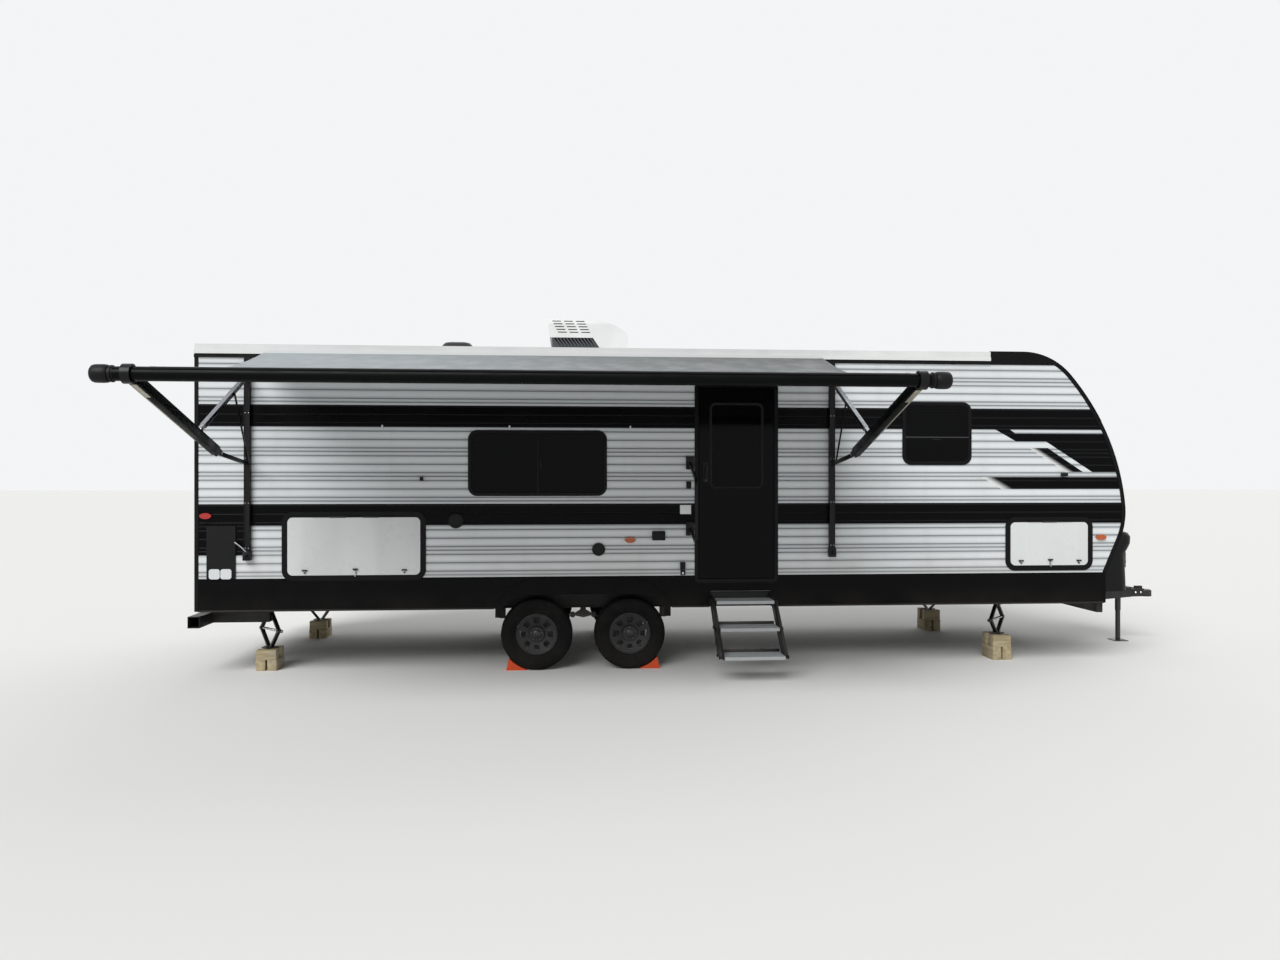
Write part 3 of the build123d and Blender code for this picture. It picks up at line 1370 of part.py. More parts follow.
def build():
    """All the sub-parts by node name."""
    nodes = {}
    rear_inner_x = body_rear_x + shell_depth
    nodes["floor"] = block(rear_inner_x, nose_x - nose_foot_back - shell_depth, -wall_inner_y, wall_inner_y,
                           floor_bottom_z, floor_top_z)
    nodes["side_wall_right"] = side_wall(-1)
    nodes["side_wall_left"] = side_wall(1)
    nodes["rear_wall"] = block(body_rear_x + siding_depth, rear_inner_x, -wall_inner_y, wall_inner_y,
                               floor_bottom_z, ceiling_z)
    nodes["roof"] = block(body_rear_x + siding_depth, nose_x - nose_start_back, -wall_inner_y, wall_inner_y,
                          ceiling_z, roof_z)
    nodes["front_wall"] = nose_skin(siding_depth, shell_depth, -wall_inner_y, wall_inner_y)
    nodes["siding"], nodes["siding_bands"] = siding_sheets()
    nodes["skirts"] = skirts()
    nodes["fender_skirts"] = right_and_left(fender_skirt())
    nodes["nose_cap"] = nose_cap()
    nodes["roof_edges"] = roof_edges()
    nodes["black_trims"] = black_trims()
    nodes["amber_lamps"] = lamps(amber_lamps)
    nodes["red_lamps"] = lamps(red_lamps) + tail_lamps()
    nodes["clear_lamps"] = clear_lamps()
    nodes["side_fittings"] = side_fittings()
    nodes["service_hatches"] = service_hatches()
    nodes["wheel_chocks"] = wheel_chocks()
    nodes["window_frames"], nodes["window_glass"] = windows()
    door_nodes = ("entry_door_frame", "entry_door", "entry_door_glass", "entry_door_handle")
    nodes.update(zip(door_nodes, entry_door()))
    baggage_frames = []
    for row in baggage_doors:
        frame, leaf = baggage_hatch(row)
        baggage_frames.append(frame)
        nodes[row[0]] = leaf
    nodes["baggage_frames"] = Part() + baggage_frames
    nodes["chassis_frame"] = chassis()
    nodes["a_frame"] = a_frame()
    nodes["coupler"] = coupler()
    nodes["tongue_jack"] = tongue_jack()
    nodes["gas_bottle_cover"] = gas_cover()
    nodes["rear_bumper"] = bumper()
    axle_places = {"rear": axle_middle_x - axle_spread / 2, "front": axle_middle_x + axle_spread / 2}
    rim_shape, hub_back, bore_depth = rim()
    nodes["axles"] = Part() + [axle(x, hub_back, bore_depth) for x in axle_places.values()]
    nodes["leaf_springs"] = Part() + [right_and_left(leaf_spring(x)) for x in axle_places.values()]
    tyre_shape = tyre()
    for end, x in axle_places.items():
        for side, name in ((-1, "right"), (1, "left")):
            place = Pos(x, side * wheel_y, tyre_radius)
            if side > 0:
                place = place * Rot(0, 0, 180)
            nodes[f"tyre_{end}_{name}"] = place * tyre_shape
            nodes[f"rim_{end}_{name}"] = place * rim_shape
    jacks, blocks = zip(*[corner_jack(*row) for row in corner_jacks])
    nodes["corner_jacks"] = Part() + [right_and_left(jack) for jack in jacks]
    nodes["jack_blocks"] = Part() + [right_and_left(wood) for wood in blocks]
    nodes["entry_steps"] = step_stack()
    nodes["assist_handle"] = assist_handle()
    arms, links = zip(*[awning_side(x) for x in awning_arm_x])
    nodes["awning_arms"] = Part() + list(arms)
    nodes["awning_links"] = Part() + [piece for side in links for piece in side]
    nodes["awning_roller"] = awning_roller()
    nodes["awning_cloth"] = awning_cloth()
    nodes["air_conditioner"], nodes["air_conditioner_base"] = roof_unit()
    nodes["roof_vent_base"], nodes["roof_vent_lid"] = roof_vent()
    stack = Pos(stack_x, stack_y, roof_z + stack_height / 2)
    nodes["plumbing_vent"] = stack * Cylinder(stack_radius, stack_height)
    return nodes


os.makedirs("parts", exist_ok=True)
for node_name, shape in build().items():
    export_step(shape, f"parts/{node_name}.step")
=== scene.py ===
from math import atan2, cos, pi, radians, sin

import bmesh
import bpy
from mathutils import Matrix, Vector


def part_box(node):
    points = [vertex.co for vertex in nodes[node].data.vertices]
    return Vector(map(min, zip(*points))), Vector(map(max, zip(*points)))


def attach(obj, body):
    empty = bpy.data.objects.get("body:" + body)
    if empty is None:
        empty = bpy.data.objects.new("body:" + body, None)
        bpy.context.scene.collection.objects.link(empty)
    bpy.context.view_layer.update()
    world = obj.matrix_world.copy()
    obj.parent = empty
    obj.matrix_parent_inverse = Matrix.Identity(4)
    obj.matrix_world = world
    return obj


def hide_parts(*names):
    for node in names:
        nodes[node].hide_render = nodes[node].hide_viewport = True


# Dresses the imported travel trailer: materials for each node, tyres, the awning's cloth and small fittings.
# Metres, in the row frame: +X to the hitch, +Z up, the side with the entry door and awning faces -Y.

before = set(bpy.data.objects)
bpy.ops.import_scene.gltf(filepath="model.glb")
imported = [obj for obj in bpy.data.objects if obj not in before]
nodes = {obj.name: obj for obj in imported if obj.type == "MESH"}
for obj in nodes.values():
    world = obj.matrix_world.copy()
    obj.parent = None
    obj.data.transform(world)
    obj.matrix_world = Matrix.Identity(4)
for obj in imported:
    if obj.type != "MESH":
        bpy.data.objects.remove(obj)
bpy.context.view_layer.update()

# Places in the frame
siding_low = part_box("siding")[0]
wall_y = siding_low.y
wall_reach = abs(wall_y)
rail_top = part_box("black_trims")[1].z
roller_low, roller_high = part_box("awning_roller")
cloth_low, cloth_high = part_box("awning_cloth")
skirt_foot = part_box("skirts")[0].z
roof_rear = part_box("roof")[0].x
roof_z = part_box("roof")[1].z
spring_half_width = 0.0225
rail_reach = abs(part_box("leaf_springs")[0].y + spring_half_width)
wheel_ends = ("rear_right", "rear_left", "front_right", "front_left")
baggage_doors = ("baggage_door_rear_right", "baggage_door_front_right", "baggage_door_front_left")
under_sheet_z = 0.7205

# Siding: heights of the grooves, from the lowest, and how often they repeat
groove_first = siding_low.z + 0.055
groove_steps = (0.0, 0.076, 0.152, 0.190)
groove_period = 0.223

# The lower black band where it goes round the nose: its heights, and where the nose begins
nose_band = (1.342, 1.535)
nose_start_x = -0.80

# Decals that fade in from the rear: left edge's x at top and bottom, z from top to bottom, length of the fade
fades = (
    (-2.092, -1.897, 1.778, 1.664, 0.13),
    (-1.627, -1.264, 2.054, 1.826, 0.09),
)

# Windows: middle x, middle z, width, height and side; then their corners' radius
windows = (
    (-6.264, 1.904, 1.260, 0.600, -1),
    (-2.527, 2.188, 0.668, 0.591, -1),
    (-7.600, 1.904, 1.260, 0.600, 1),
    (-4.700, 1.990, 0.668, 0.591, 1),
    (-2.527, 2.188, 0.668, 0.591, 1),
)
window_corner = 0.085

# Awning: x of the arms; heights, depth and width of their channels; width and depth of the arms' covers;
# the outer arms' width, and the height below which the links are black
arm_places = (-8.829, -3.541)
channel_z = (1.085, 2.840)
channel_depth = 0.042
channel_width = 0.052
outer_cover = (0.064, 0.070)
inner_cover = (0.038, 0.039)
link_cover = (0.029, 0.031)
outer_arm_width = 0.046
link_top_z = 2.03

# The arms' joints, as distance outboard of the wall and height
roller_z = (roller_low.z + roller_high.z) / 2
roller_y = (roller_low.y + roller_high.y) / 2
roller_place = (wall_y - roller_y, roller_z)
outer_arm_root = (0.700, 1.970)
inner_arm_root = (0.066, 2.660)
inner_arm_tip = (1.080, 2.140)
link_root = (0.064, 1.900)

# Corner jacks: x, block height, turn about the upright, end of the screw that takes the crank
corner_jacks = (
    (-8.750, 0.190, -45, 1),
    (-1.780, 0.240, 45, -1),
)
block_size = 0.240


def srgb(red, green, blue):
    """A colour written in 0-255 steps, as the linear values that a shader takes."""
    steps = [value / 255 for value in (red, green, blue)]
    return [v / 12.92 if v <= 0.04045 else ((v + 0.055) / 1.055) ** 2.4 for v in steps] + [1.0]


class Graph:
    """A node tree that is built up from numbers, colours and outputs."""

    def __init__(self, tree):
        self.tree = tree

    def feed(self, value, socket):
        """Sets a socket to a number or colour, or links an output to it."""
        if isinstance(value, bpy.types.NodeSocket):
            self.tree.links.new(value, socket)
        else:
            socket.default_value = value

    def add(self, kind, inputs=None, **settings):
        """A node with these settings, with its inputs fed."""
        node = self.tree.nodes.new("ShaderNode" + kind)
        for key, value in settings.items():
            setattr(node, key, value)
        for key, value in (inputs or {}).items():
            self.feed(value, node.inputs[key])
        return node

    def maths(self, operation, first, second=0.0):
        """A sum with two numbers or outputs."""
        return self.add("Math", {0: first, 1: second}, operation=operation).outputs[0]

    def both(self, first, second):
        """The product of two, which is 1 where both are 1."""
        return self.maths("MULTIPLY", first, second)

    def either(self, first, second):
        """The larger of two."""
        return self.maths("MAXIMUM", first, second)


class Finish(Graph):
    """A node material in row-frame metres, built up layer by layer."""

    def __init__(self, name, colour, rough=0.4, specular=0.5, metal=0.0, coat=0.0):
        self.material = bpy.data.materials.new(name)
        self.material.use_nodes = True
        super().__init__(self.material.node_tree)
        self.shader = self.tree.nodes["Principled BSDF"].inputs
        settings = {"Base Color": srgb(*colour), "Roughness": rough, "Metallic": metal,
                    "Specular IOR Level": specular, "Coat Weight": coat}
        for key, value in settings.items():
            self.feed(value, self.shader[key])
        self.place = self.add("TexCoord").outputs["Object"]
        self.normal = None

    def axis(self, letter):
        """The place along one axis."""
        return self.add("SeparateXYZ", {0: self.place}).outputs[letter]

    def facing(self, letter):
        """The surface normal along one axis, in the row frame at rest."""
        return self.add("SeparateXYZ", {0: self.add("TexCoord").outputs["Normal"]}).outputs[letter]

    def noise(self, scale, detail, stretch=(1, 1, 1)):
        """Cloudy values about 0.5, with features about 1 / scale metres across."""
        mapping = self.add("Mapping", {"Vector": self.place, "Scale": stretch})
        inputs = {"Vector": mapping.outputs[0], "Scale": scale, "Detail": detail}
        return self.add("TexNoise", inputs).outputs["Fac"]

    def wave(self, scale, direction="X"):
        """Bands across one axis."""
        inputs = {"Vector": self.place, "Scale": scale}
        return self.add("TexWave", inputs, bands_direction=direction).outputs["Fac"]

    def span(self, value, low, high, to_low=0.0, to_high=1.0):
        """A value remapped from one span to another, eased and held at the ends."""
        inputs = {"Value": value, "From Min": low, "From Max": high, "To Min": to_low, "To Max": to_high}
        return self.add("MapRange", inputs, interpolation_type="SMOOTHSTEP").outputs["Result"]

    def past(self, letter, limit, width=0.0006):
        """1 where the place along an axis is past a limit, 0 before it."""
        return self.span(self.axis(letter), limit - width, limit + width)

    def before(self, letter, limit, width=0.0006):
        """1 where the place along an axis is before a limit, 0 past it."""
        return self.span(self.axis(letter), limit - width, limit + width, 1.0, 0.0)

    def within(self, letter, low, high):
        """1 where the place along an axis is between two limits."""
        return self.both(self.past(letter, low), self.before(letter, high))

    def tint(self, factor, colour, share=None):
        """Lays a colour over the base colour, where the factor says, or a share of that."""
        base = self.shader["Base Color"]
        under = base.links[0].from_socket if base.is_linked else list(base.default_value)
        inputs = {0: self.both(factor, share) if share else factor, 6: under, 7: srgb(*colour)}
        self.feed(self.add("Mix", inputs, data_type="RGBA").outputs[2], base)
        return self

    def patches(self, scale, detail, low, high, most, colour, stretch=(1, 1, 1)):
        """Clouds of another colour, from none at the noise's low level to the most at its high one."""
        return self.tint(self.span(self.noise(scale, detail, stretch), low, high, 0.0, most), colour)

    def gloss(self, scale, detail, rough_low, rough_high):
        """Roughness that drifts between two values."""
        drift = self.span(self.noise(scale, detail), 0.3, 0.7, rough_low, rough_high)
        self.feed(drift, self.shader["Roughness"])
        return self

    def bump(self, height, distance, strength):
        """Adds relief, as deep as the distance in metres."""
        node = self.add("Bump", {"Height": height, "Distance": distance, "Strength": strength})
        if self.normal is not None:
            self.feed(self.normal, node.inputs["Normal"])
        self.normal = node.outputs["Normal"]
        self.feed(self.normal, self.shader["Normal"])
        return self

    def grain(self, scale, detail, distance, strength, stretch=(1, 1, 1)):
        """Relief from noise."""
        return self.bump(self.noise(scale, detail, stretch), distance, strength)

    def ribs(self, scale, distance, strength):
        """Relief in ribs across the X axis."""
        return self.bump(self.wave(scale), distance, strength)

    def grime(self, colour, low_z, high_z, most):
        """Road dust that thins out with height."""
        patches = self.span(self.noise(2.3, 5), 0.35, 0.7)
        return self.tint(self.both(patches, self.span(self.axis("Z"), low_z, high_z, most, 0.0)), colour)


def plastic(name, colour, rough=0.42, specular=0.35):
    """Moulded plastic with a fine grain and slightly uneven gloss."""
    look = Finish(name, colour, rough, specular)
    look.patches(3.1, 4, 0.3, 0.75, 0.35, [c * 0.86 for c in colour])
    return look.gloss(9, 3, rough * 0.85, rough * 1.15).grain(900, 2, 0.00025, 0.5)


def paint(name, colour, rough=0.35, specular=0.4, worn=(96, 92, 86)):
    """Sprayed paint with orange peel, scuffs and a little dust."""
    look = Finish(name, colour, rough, specular)
    look.patches(1.7, 6, 0.55, 0.8, 0.12, worn).patches(46, 5, 0.66, 0.78, 0.25, worn)
    return look.gloss(6, 4, rough * 0.8, rough * 1.25).grain(260, 2, 0.0003, 0.35)


def metal(name, colour, rough=0.3):
    """Bright metal with a fine grain and dulled patches."""
    look = Finish(name, colour, rough, metal=0.9).patches(7, 5, 0.45, 0.75, 0.4, [c * 0.72 for c in colour])
    return look.gloss(30, 4, rough * 0.75, rough * 1.4).grain(400, 2, 0.0002, 0.4)


def groove_lines(look, half_line):
    """A value of 1 in the siding's grooves that falls to 0 at half a line's width."""
    height = look.maths("SUBTRACT", look.axis("Z"), groove_first - groove_period)
    turn = look.maths("FRACT", look.maths("DIVIDE", height, groove_period))
    lines = 0.0
    for step in groove_steps + (groove_period,):
        away = look.maths("ABSOLUTE", look.maths("SUBTRACT", turn, step / groove_period))
        lines = look.either(lines, look.span(away, 0.0, half_line / groove_period, 1.0, 0.0))
    return lines


def white_siding():
    """Satin white siding: painted shade along the grooves, waviness, water marks, low dust and the nose's
    black band.
    """
    look = Finish("siding_white", (214, 218, 220), 0.34, 0.4)
    look.patches(5.5, 6, 0.5, 0.8, 0.2, (172, 173, 170), (1, 1, 0.12))
    look.patches(0.9, 3, 0.35, 0.7, 0.25, (198, 201, 201))
    # Painted shade along the grooves: a wide soft grey band, and a thin dark line that is partly dirt, partly
    # painted shade.
    look.tint(groove_lines(look, 0.030), (146, 151, 155), 0.55)
    look.tint(groove_lines(look, 0.011), (88, 91, 94), 0.6)
    look.gloss(4, 4, 0.28, 0.42).grain(2.2, 2, 0.006, 0.5, (1, 1, 2.5)).grain(420, 2, 0.0002, 0.3)
    look.grime((160, 152, 138), 0.85, 1.25, 0.25)
    nose = look.both(look.within("Z", *nose_band), look.past("X", nose_start_x))
    look.feed(look.span(nose, 0.0, 1.0, 0.4, 0.07), look.shader["Specular IOR Level"])
    return look.tint(nose, (5, 5, 6))


def black_siding():
    """Gloss black siding: painted pale glints along the grooves, and decals that fade in from white."""
    look = Finish("siding_black", (4, 4, 5), 0.24, 0.07)
    # Painted highlight: pale glint lines along the grooves.
    look.tint(groove_lines(look, 0.009), (60, 62, 64), 0.3)
    for top_x, foot_x, top_z, foot_z, length in fades:
        slant = (foot_x - top_x) / (top_z - foot_z)
        edge = look.maths("MULTIPLY_ADD", look.maths("SUBTRACT", top_z, look.axis("Z")), slant)
        look.feed(top_x, edge.node.inputs[2])
        fade = look.span(look.maths("SUBTRACT", look.axis("X"), edge), 0.0, length, 1.0, 0.0)
        look.tint(look.both(fade, look.within("Z", foot_z - 0.002, top_z + 0.002)), (212, 214, 213))
    look.gloss(3, 3, 0.2, 0.32)
    return look.grain(2.2, 2, 0.005, 0.5, (1, 1, 2.5)).grain(500, 2, 0.0001, 0.3)


def dark_glass():
    """Tinted glass: near black and smooth, with faint patches of painted reflection and the faint folds of a
    blind behind it.
    """
    look = Finish("dark_glass", (3, 3, 4), 0.05, 0.08)
    # Painted reflection: faint paler patches over the glass.
    look.patches(1.1, 2, 0.5, 0.7, 0.5, (9, 10, 11), (0.5, 1, 1))
    look.tint(look.span(look.wave(12, "Z"), 0.7, 1.0), (16, 17, 18), 0.25)
    return look.gloss(5, 2, 0.03, 0.08).grain(3, 1, 0.0015, 0.3)


def door_gloss():
    """The entry door: gloss black skin outside, pale board on its inner face."""
    look = Finish("door_gloss", (3, 3, 4), 0.12, 0.09).patches(1.3, 3, 0.5, 0.8, 0.4, (8, 8, 9))
    look.tint(look.span(look.facing("Y"), 0.5, 0.6), (196, 194, 188))
    return look.gloss(4, 3, 0.06, 0.16).grain(2.5, 1, 0.003, 0.4)


def hatch_white(node):
    """A baggage door's smooth gel coat with painted vertical sheen, and black latches and hinge."""
    look = Finish(f"hatch_white_{node}", (206, 209, 209), 0.3, 0.4)
    # Painted sheen: faint vertical streaks a little darker than the gel coat.
    look.patches(2.6, 3, 0.42, 0.7, 0.4, (184, 186, 184), (1, 1, 0.08))
    look.patches(1.6, 4, 0.4, 0.75, 0.25, (190, 190, 186))
    reach = look.maths("ABSOLUTE", look.axis("Y"))
    latches = look.span(reach, wall_reach + 0.0094, wall_reach + 0.0100)
    hinge = look.past("Z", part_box(node)[1].z - 0.0142)
    look.tint(look.either(latches, hinge), (15, 15, 16))
    return look.gloss(5, 3, 0.25, 0.38).grain(3.4, 2, 0.003, 0.4).grain(300, 2, 0.0002, 0.3)


def rail_black():
    """The gutter rail: black below, with the roof's pale edge turned down over its upper part."""
    look = paint("rail_black", (9, 9, 10), 0.34, 0.15, (48, 46, 43))
    return look.tint(look.past("Z", rail_top - 0.036), (214, 216, 215))


def inner_board():
    """The inside of the shell: pale board with a faint grain, a plank floor, and black sheet underneath."""
    look = Finish("inner_board", (188, 182, 170), 0.6, 0.3)
    look.patches(14, 5, 0.4, 0.7, 0.4, (160, 150, 134), (0.15, 1, 1))
    planks = look.span(look.noise(20, 6, (0.1, 1, 1)), 0.4, 0.65, 0.35, 0.9)
    look.tint(look.both(look.span(look.facing("Z"), 0.6, 0.8), planks), (118, 94, 70))
    look.tint(look.span(look.facing("Z"), -0.6, -0.4, 1.0, 0.0), (14, 14, 15))
    return look.tint(look.before("Z", under_sheet_z), (14, 14, 15)).grain(90, 3, 0.0004, 0.5)


def step_paint():
    """Steps: pale grey treads over a pressed grip pattern, between black stringers and a black riser."""
    low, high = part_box("entry_steps")
    look = paint("step_grey", (158, 161, 162), 0.5, 0.4, (92, 88, 80))
    stringers = look.either(look.before("X", low.x + 0.0085), look.past("X", high.x - 0.0085))
    look.tint(look.either(stringers, look.past("Y", wall_y - 0.014)), (15, 15, 16))
    return look.bump(look.span(look.both(look.wave(32, "X"), look.wave(32, "Y")), 0.3, 0.6), 0.002, 0.7)


def lens(name, colour, rib_highlight):
    """A moulded lamp lens with fine ribs, tinted paler along them as painted highlights."""
    look = Finish(name, colour, 0.16, coat=0.3)
    # Painted highlight: the lens is tinted paler along its ribs.
    look.tint(look.span(look.wave(26), 0.2, 0.9, 0.0, 0.45), rib_highlight)
    return look.gloss(20, 2, 0.12, 0.22).ribs(26, 0.0012, 0.8)


def timber(name, stretch):
    """Sawn softwood, weathered, with the grain drawn out along one axis."""
    look = Finish(name, (178, 165, 134), 0.7, 0.25).patches(26, 6, 0.42, 0.62, 0.6, (134, 118, 88), stretch)
    return look.patches(4, 4, 0.45, 0.75, 0.5, (146, 140, 124)).grain(26, 6, 0.002, 0.7, stretch)


def vinyl_cloth():
    """Awning vinyl: grey, with painted light to the rear, painted shade to the front, painted highlights near
    the roller, weave and water marks.
    """
    look = Finish("awning_vinyl", (118, 122, 123), 0.55, 0.3)
    # Painted light: paler towards the rear, where light comes through the cloth; painted shade: darker
    # towards the front.
    look.tint(look.span(look.axis("X"), -8.7, -5.2, 1.0, 0.0), (176, 184, 190), 0.6)
    look.tint(look.span(look.axis("X"), -6.6, -3.8, 0.0, 0.6), (84, 87, 88))
    look.patches(2.4, 5, 0.45, 0.75, 0.07, (92, 95, 95), (0.25, 1, 1))
    # Painted highlight: pale streaks over the cloth near the roller.
    highlight_streaks = look.span(look.noise(14, 4, (0.02, 1, 0.2)), 0.5, 0.66)
    near_roller = look.span(look.axis("Y"), roller_y + 0.05, roller_y + 0.7, 0.5, 0.0)
    look.tint(look.both(highlight_streaks, near_roller), (202, 208, 212)).gloss(6, 3, 0.45, 0.65)
    look.bump(look.both(look.wave(420, "X"), look.wave(420, "Y")), 0.0005, 0.5)
    return look.grain(3.2, 2, 0.012, 0.5, (0.5, 1, 1))


def awning_link_metal():
    """The awning's inner arms bright, with black struts beside them and black links under them."""
    look = metal("awning_link_metal", (172, 175, 178), 0.32)
    black = look.before("Z", link_top_z)
    for x in arm_places:
        black = look.either(black, look.within("X", x + 0.0185, x + 0.1))
    return look.tint(black, (20, 20, 21))


def awning_inner_metal():
    """The inner arms: bright on their faces, black on their sides."""
    look = metal("awning_inner_metal", (150, 153, 158), 0.34)
    return look.tint(look.span(look.maths("ABSOLUTE", look.facing("X")), 0.6, 0.8), (16, 16, 17))


def dress(look, *names):
    """Gives CAD nodes their material."""
    for name in names:
        mesh = nodes[name].data
        mesh.materials.clear()
        mesh.materials.append(look.material)


# Chassis and axles: black paint with rust specks, and dust on the low parts
chassis_paint = paint("chassis_black", (24, 24, 25), 0.5, 0.3).patches(17, 6, 0.62, 0.75, 0.5, (74, 52, 38))
chassis_paint.grime((112, 104, 92), 0.25, 0.75, 0.35)
axle_paint = paint("axle_steel", (42, 41, 40), 0.48).patches(24, 6, 0.55, 0.7, 0.6, (88, 60, 44))
axle_paint.grime((120, 110, 96), 0.1, 0.7, 0.4)
dress(chassis_paint, "chassis_frame", "a_frame", "rear_bumper", "coupler")
dress(axle_paint, "axles", "leaf_springs")

# Tyre rubber, dull and dusty in the tread and on the walls, and painted steel wheels with brake dust
rubber = Finish("tyre_rubber", (9, 9, 9), 0.75, 0.12).patches(9, 5, 0.45, 0.75, 0.3, (36, 34, 31))
rubber.grain(150, 3, 0.0012, 0.6).grime((72, 67, 60), 0.0, 0.45, 0.2)
wheel = Finish("wheel_dark", (30, 30, 32), 0.38, 0.45, 0.3).patches(13, 5, 0.5, 0.75, 0.45, (58, 52, 46))
wheel.gloss(15, 3, 0.3, 0.5).grain(300, 2, 0.0003, 0.4)
hub_dark = paint("hub_dark", (20, 20, 22), 0.22, 0.5)
nut_grey = metal("nut_grey", (92, 94, 97), 0.4)
dress(rubber, *[f"tyre_{end}" for end in wheel_ends])
dress(wheel, *[f"rim_{end}" for end in wheel_ends])

# The smooth panels: lower skirts with road dust, and the nose's moulded satin cap
skirt = paint("skirt_black", (4, 4, 5), 0.38, 0.08, (34, 33, 31)).grain(1.6, 2, 0.006, 0.4)
skirt.grime((60, 55, 48), 0.56, 0.80, 0.16)
nose_cap = Finish("nose_black", (8, 8, 9), 0.34, 0.12).patches(1.4, 3, 0.45, 0.75, 0.4, (17, 17, 18))
nose_cap.gloss(3, 3, 0.35, 0.38).grain(260, 2, 0.0002, 0.3)
dress(skirt, "skirts", "fender_skirts")
dress(nose_cap, "nose_cap")

# Roof: chalky membrane with water marks, dulled edges, white plastic covers and a smoked acrylic lid
roof_sheet = Finish("roof_sheet", (205, 206, 203), 0.7, 0.25).patches(1.1, 6, 0.5, 0.75, 0.3, (176, 175, 170))
roof_sheet.grain(120, 3, 0.001, 0.6)
roof_trim = plastic("roof_trim", (216, 218, 217), 0.4)
roof_trim.patches(3.3, 6, 0.5, 0.8, 0.4, (178, 178, 173), (0.3, 1, 1))
white_plastic = plastic("cover_white", (228, 230, 230), 0.45).patches(2.6, 5, 0.5, 0.8, 0.25, (200, 199, 193))
smoked = Finish("smoked_lid", (34, 33, 32), 0.14).patches(6, 4, 0.5, 0.75, 0.4, (72, 70, 66))
smoked.grain(9, 2, 0.002, 0.4)
dress(roof_sheet, "roof")
dress(roof_trim, "roof_edges")
dress(white_plastic, "air_conditioner", "roof_vent_base", "plumbing_vent", "service_hatches")
dress(plastic("grille_dark", (74, 80, 84), 0.5), "air_conditioner_base")
dress(smoked, "roof_vent_lid")

# Plain paints, plastics, metals and lamps
arm_black = paint("arm_black", (9, 9, 10), 0.32, 0.22, (52, 50, 47))
plastic_black = plastic("plastic_black", (10, 10, 11), 0.45, 0.2)
bright_steel = metal("bright_steel", (196, 197, 198), 0.22)
jack_steel = metal("jack_steel", (70, 70, 69), 0.42)
roller_black = paint("roller_black", (3, 4, 4), 0.34, 0.08, (24, 24, 24))
lens_red = lens("lens_red", (150, 16, 16), (214, 48, 40))
trim_black = paint("trim_black", (7, 7, 8), 0.34, 0.14, (44, 42, 40))
chock = plastic("chock_orange", (204, 74, 32), 0.5).patches(30, 5, 0.55, 0.72, 0.5, (150, 96, 70))
dress(plastic_black, "side_fittings", "entry_door_handle", "gas_bottle_cover")
dress(trim_black, "entry_door_frame", "baggage_frames", "window_frames")
dress(arm_black, "awning_arms", "assist_handle")
dress(jack_steel, "corner_jacks", "tongue_jack")
dress(roller_black, "awning_roller")
dress(lens_red, "red_lamps")
dress(lens("lens_amber", (160, 64, 14), (204, 112, 40)), "amber_lamps")
dress(lens("lens_clear", (196, 200, 202), (236, 240, 242)), "clear_lamps")
dress(timber("timber_plain", (0.12, 1, 1)), "jack_blocks")
dress(chock.ribs(18, 0.003, 0.5), "wheel_chocks")

# Nodes with a material of their own, and the awning's cloth
vinyl = vinyl_cloth()
dress(white_siding(), "siding")
dress(black_siding(), "siding_bands")
dress(rail_black(), "black_trims")
dress(dark_glass(), "window_glass", "entry_door_glass")
dress(door_gloss(), "entry_door")
dress(inner_board(), "side_wall_left", "side_wall_right", "rear_wall", "front_wall", "floor")
dress(step_paint(), "entry_steps")
dress(awning_link_metal(), "awning_links")
for door_node in baggage_doors:
    dress(hatch_white(door_node), door_node)


# Shapes
def rounded_loop(width, height, corner, steps=8):
    """Points round a rounded rectangle, each with its outward direction."""
    points = []
    for quarter, (across_way, up_way) in enumerate(((1, 1), (-1, 1), (-1, -1), (1, -1))):
        middle = Vector((across_way * (width / 2 - corner), up_way * (height / 2 - corner)))
        for step in range(steps + 1):
            turn = pi / 2 * (quarter + step / steps)
            outward = Vector((cos(turn), sin(turn)))
            points.append((middle + corner * outward, outward))
    return points


def hoop(middle, radius, side, up, steps):
    """Points on a circle, or its middle alone where the radius is 0."""
    turns = [2 * pi * i / steps for i in range(steps if radius else 1)]
    return [middle + radius * (cos(turn) * side + sin(turn) * up) for turn in turns]


def on_wall(x, reach, z, side=-1):
    """A point that far outboard of a side wall."""
    return Vector((x, side * (wall_reach + reach), z))


def box_middle(node):
    """The middle of a CAD node's box."""
    low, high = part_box(node)
    return (low + high) / 2


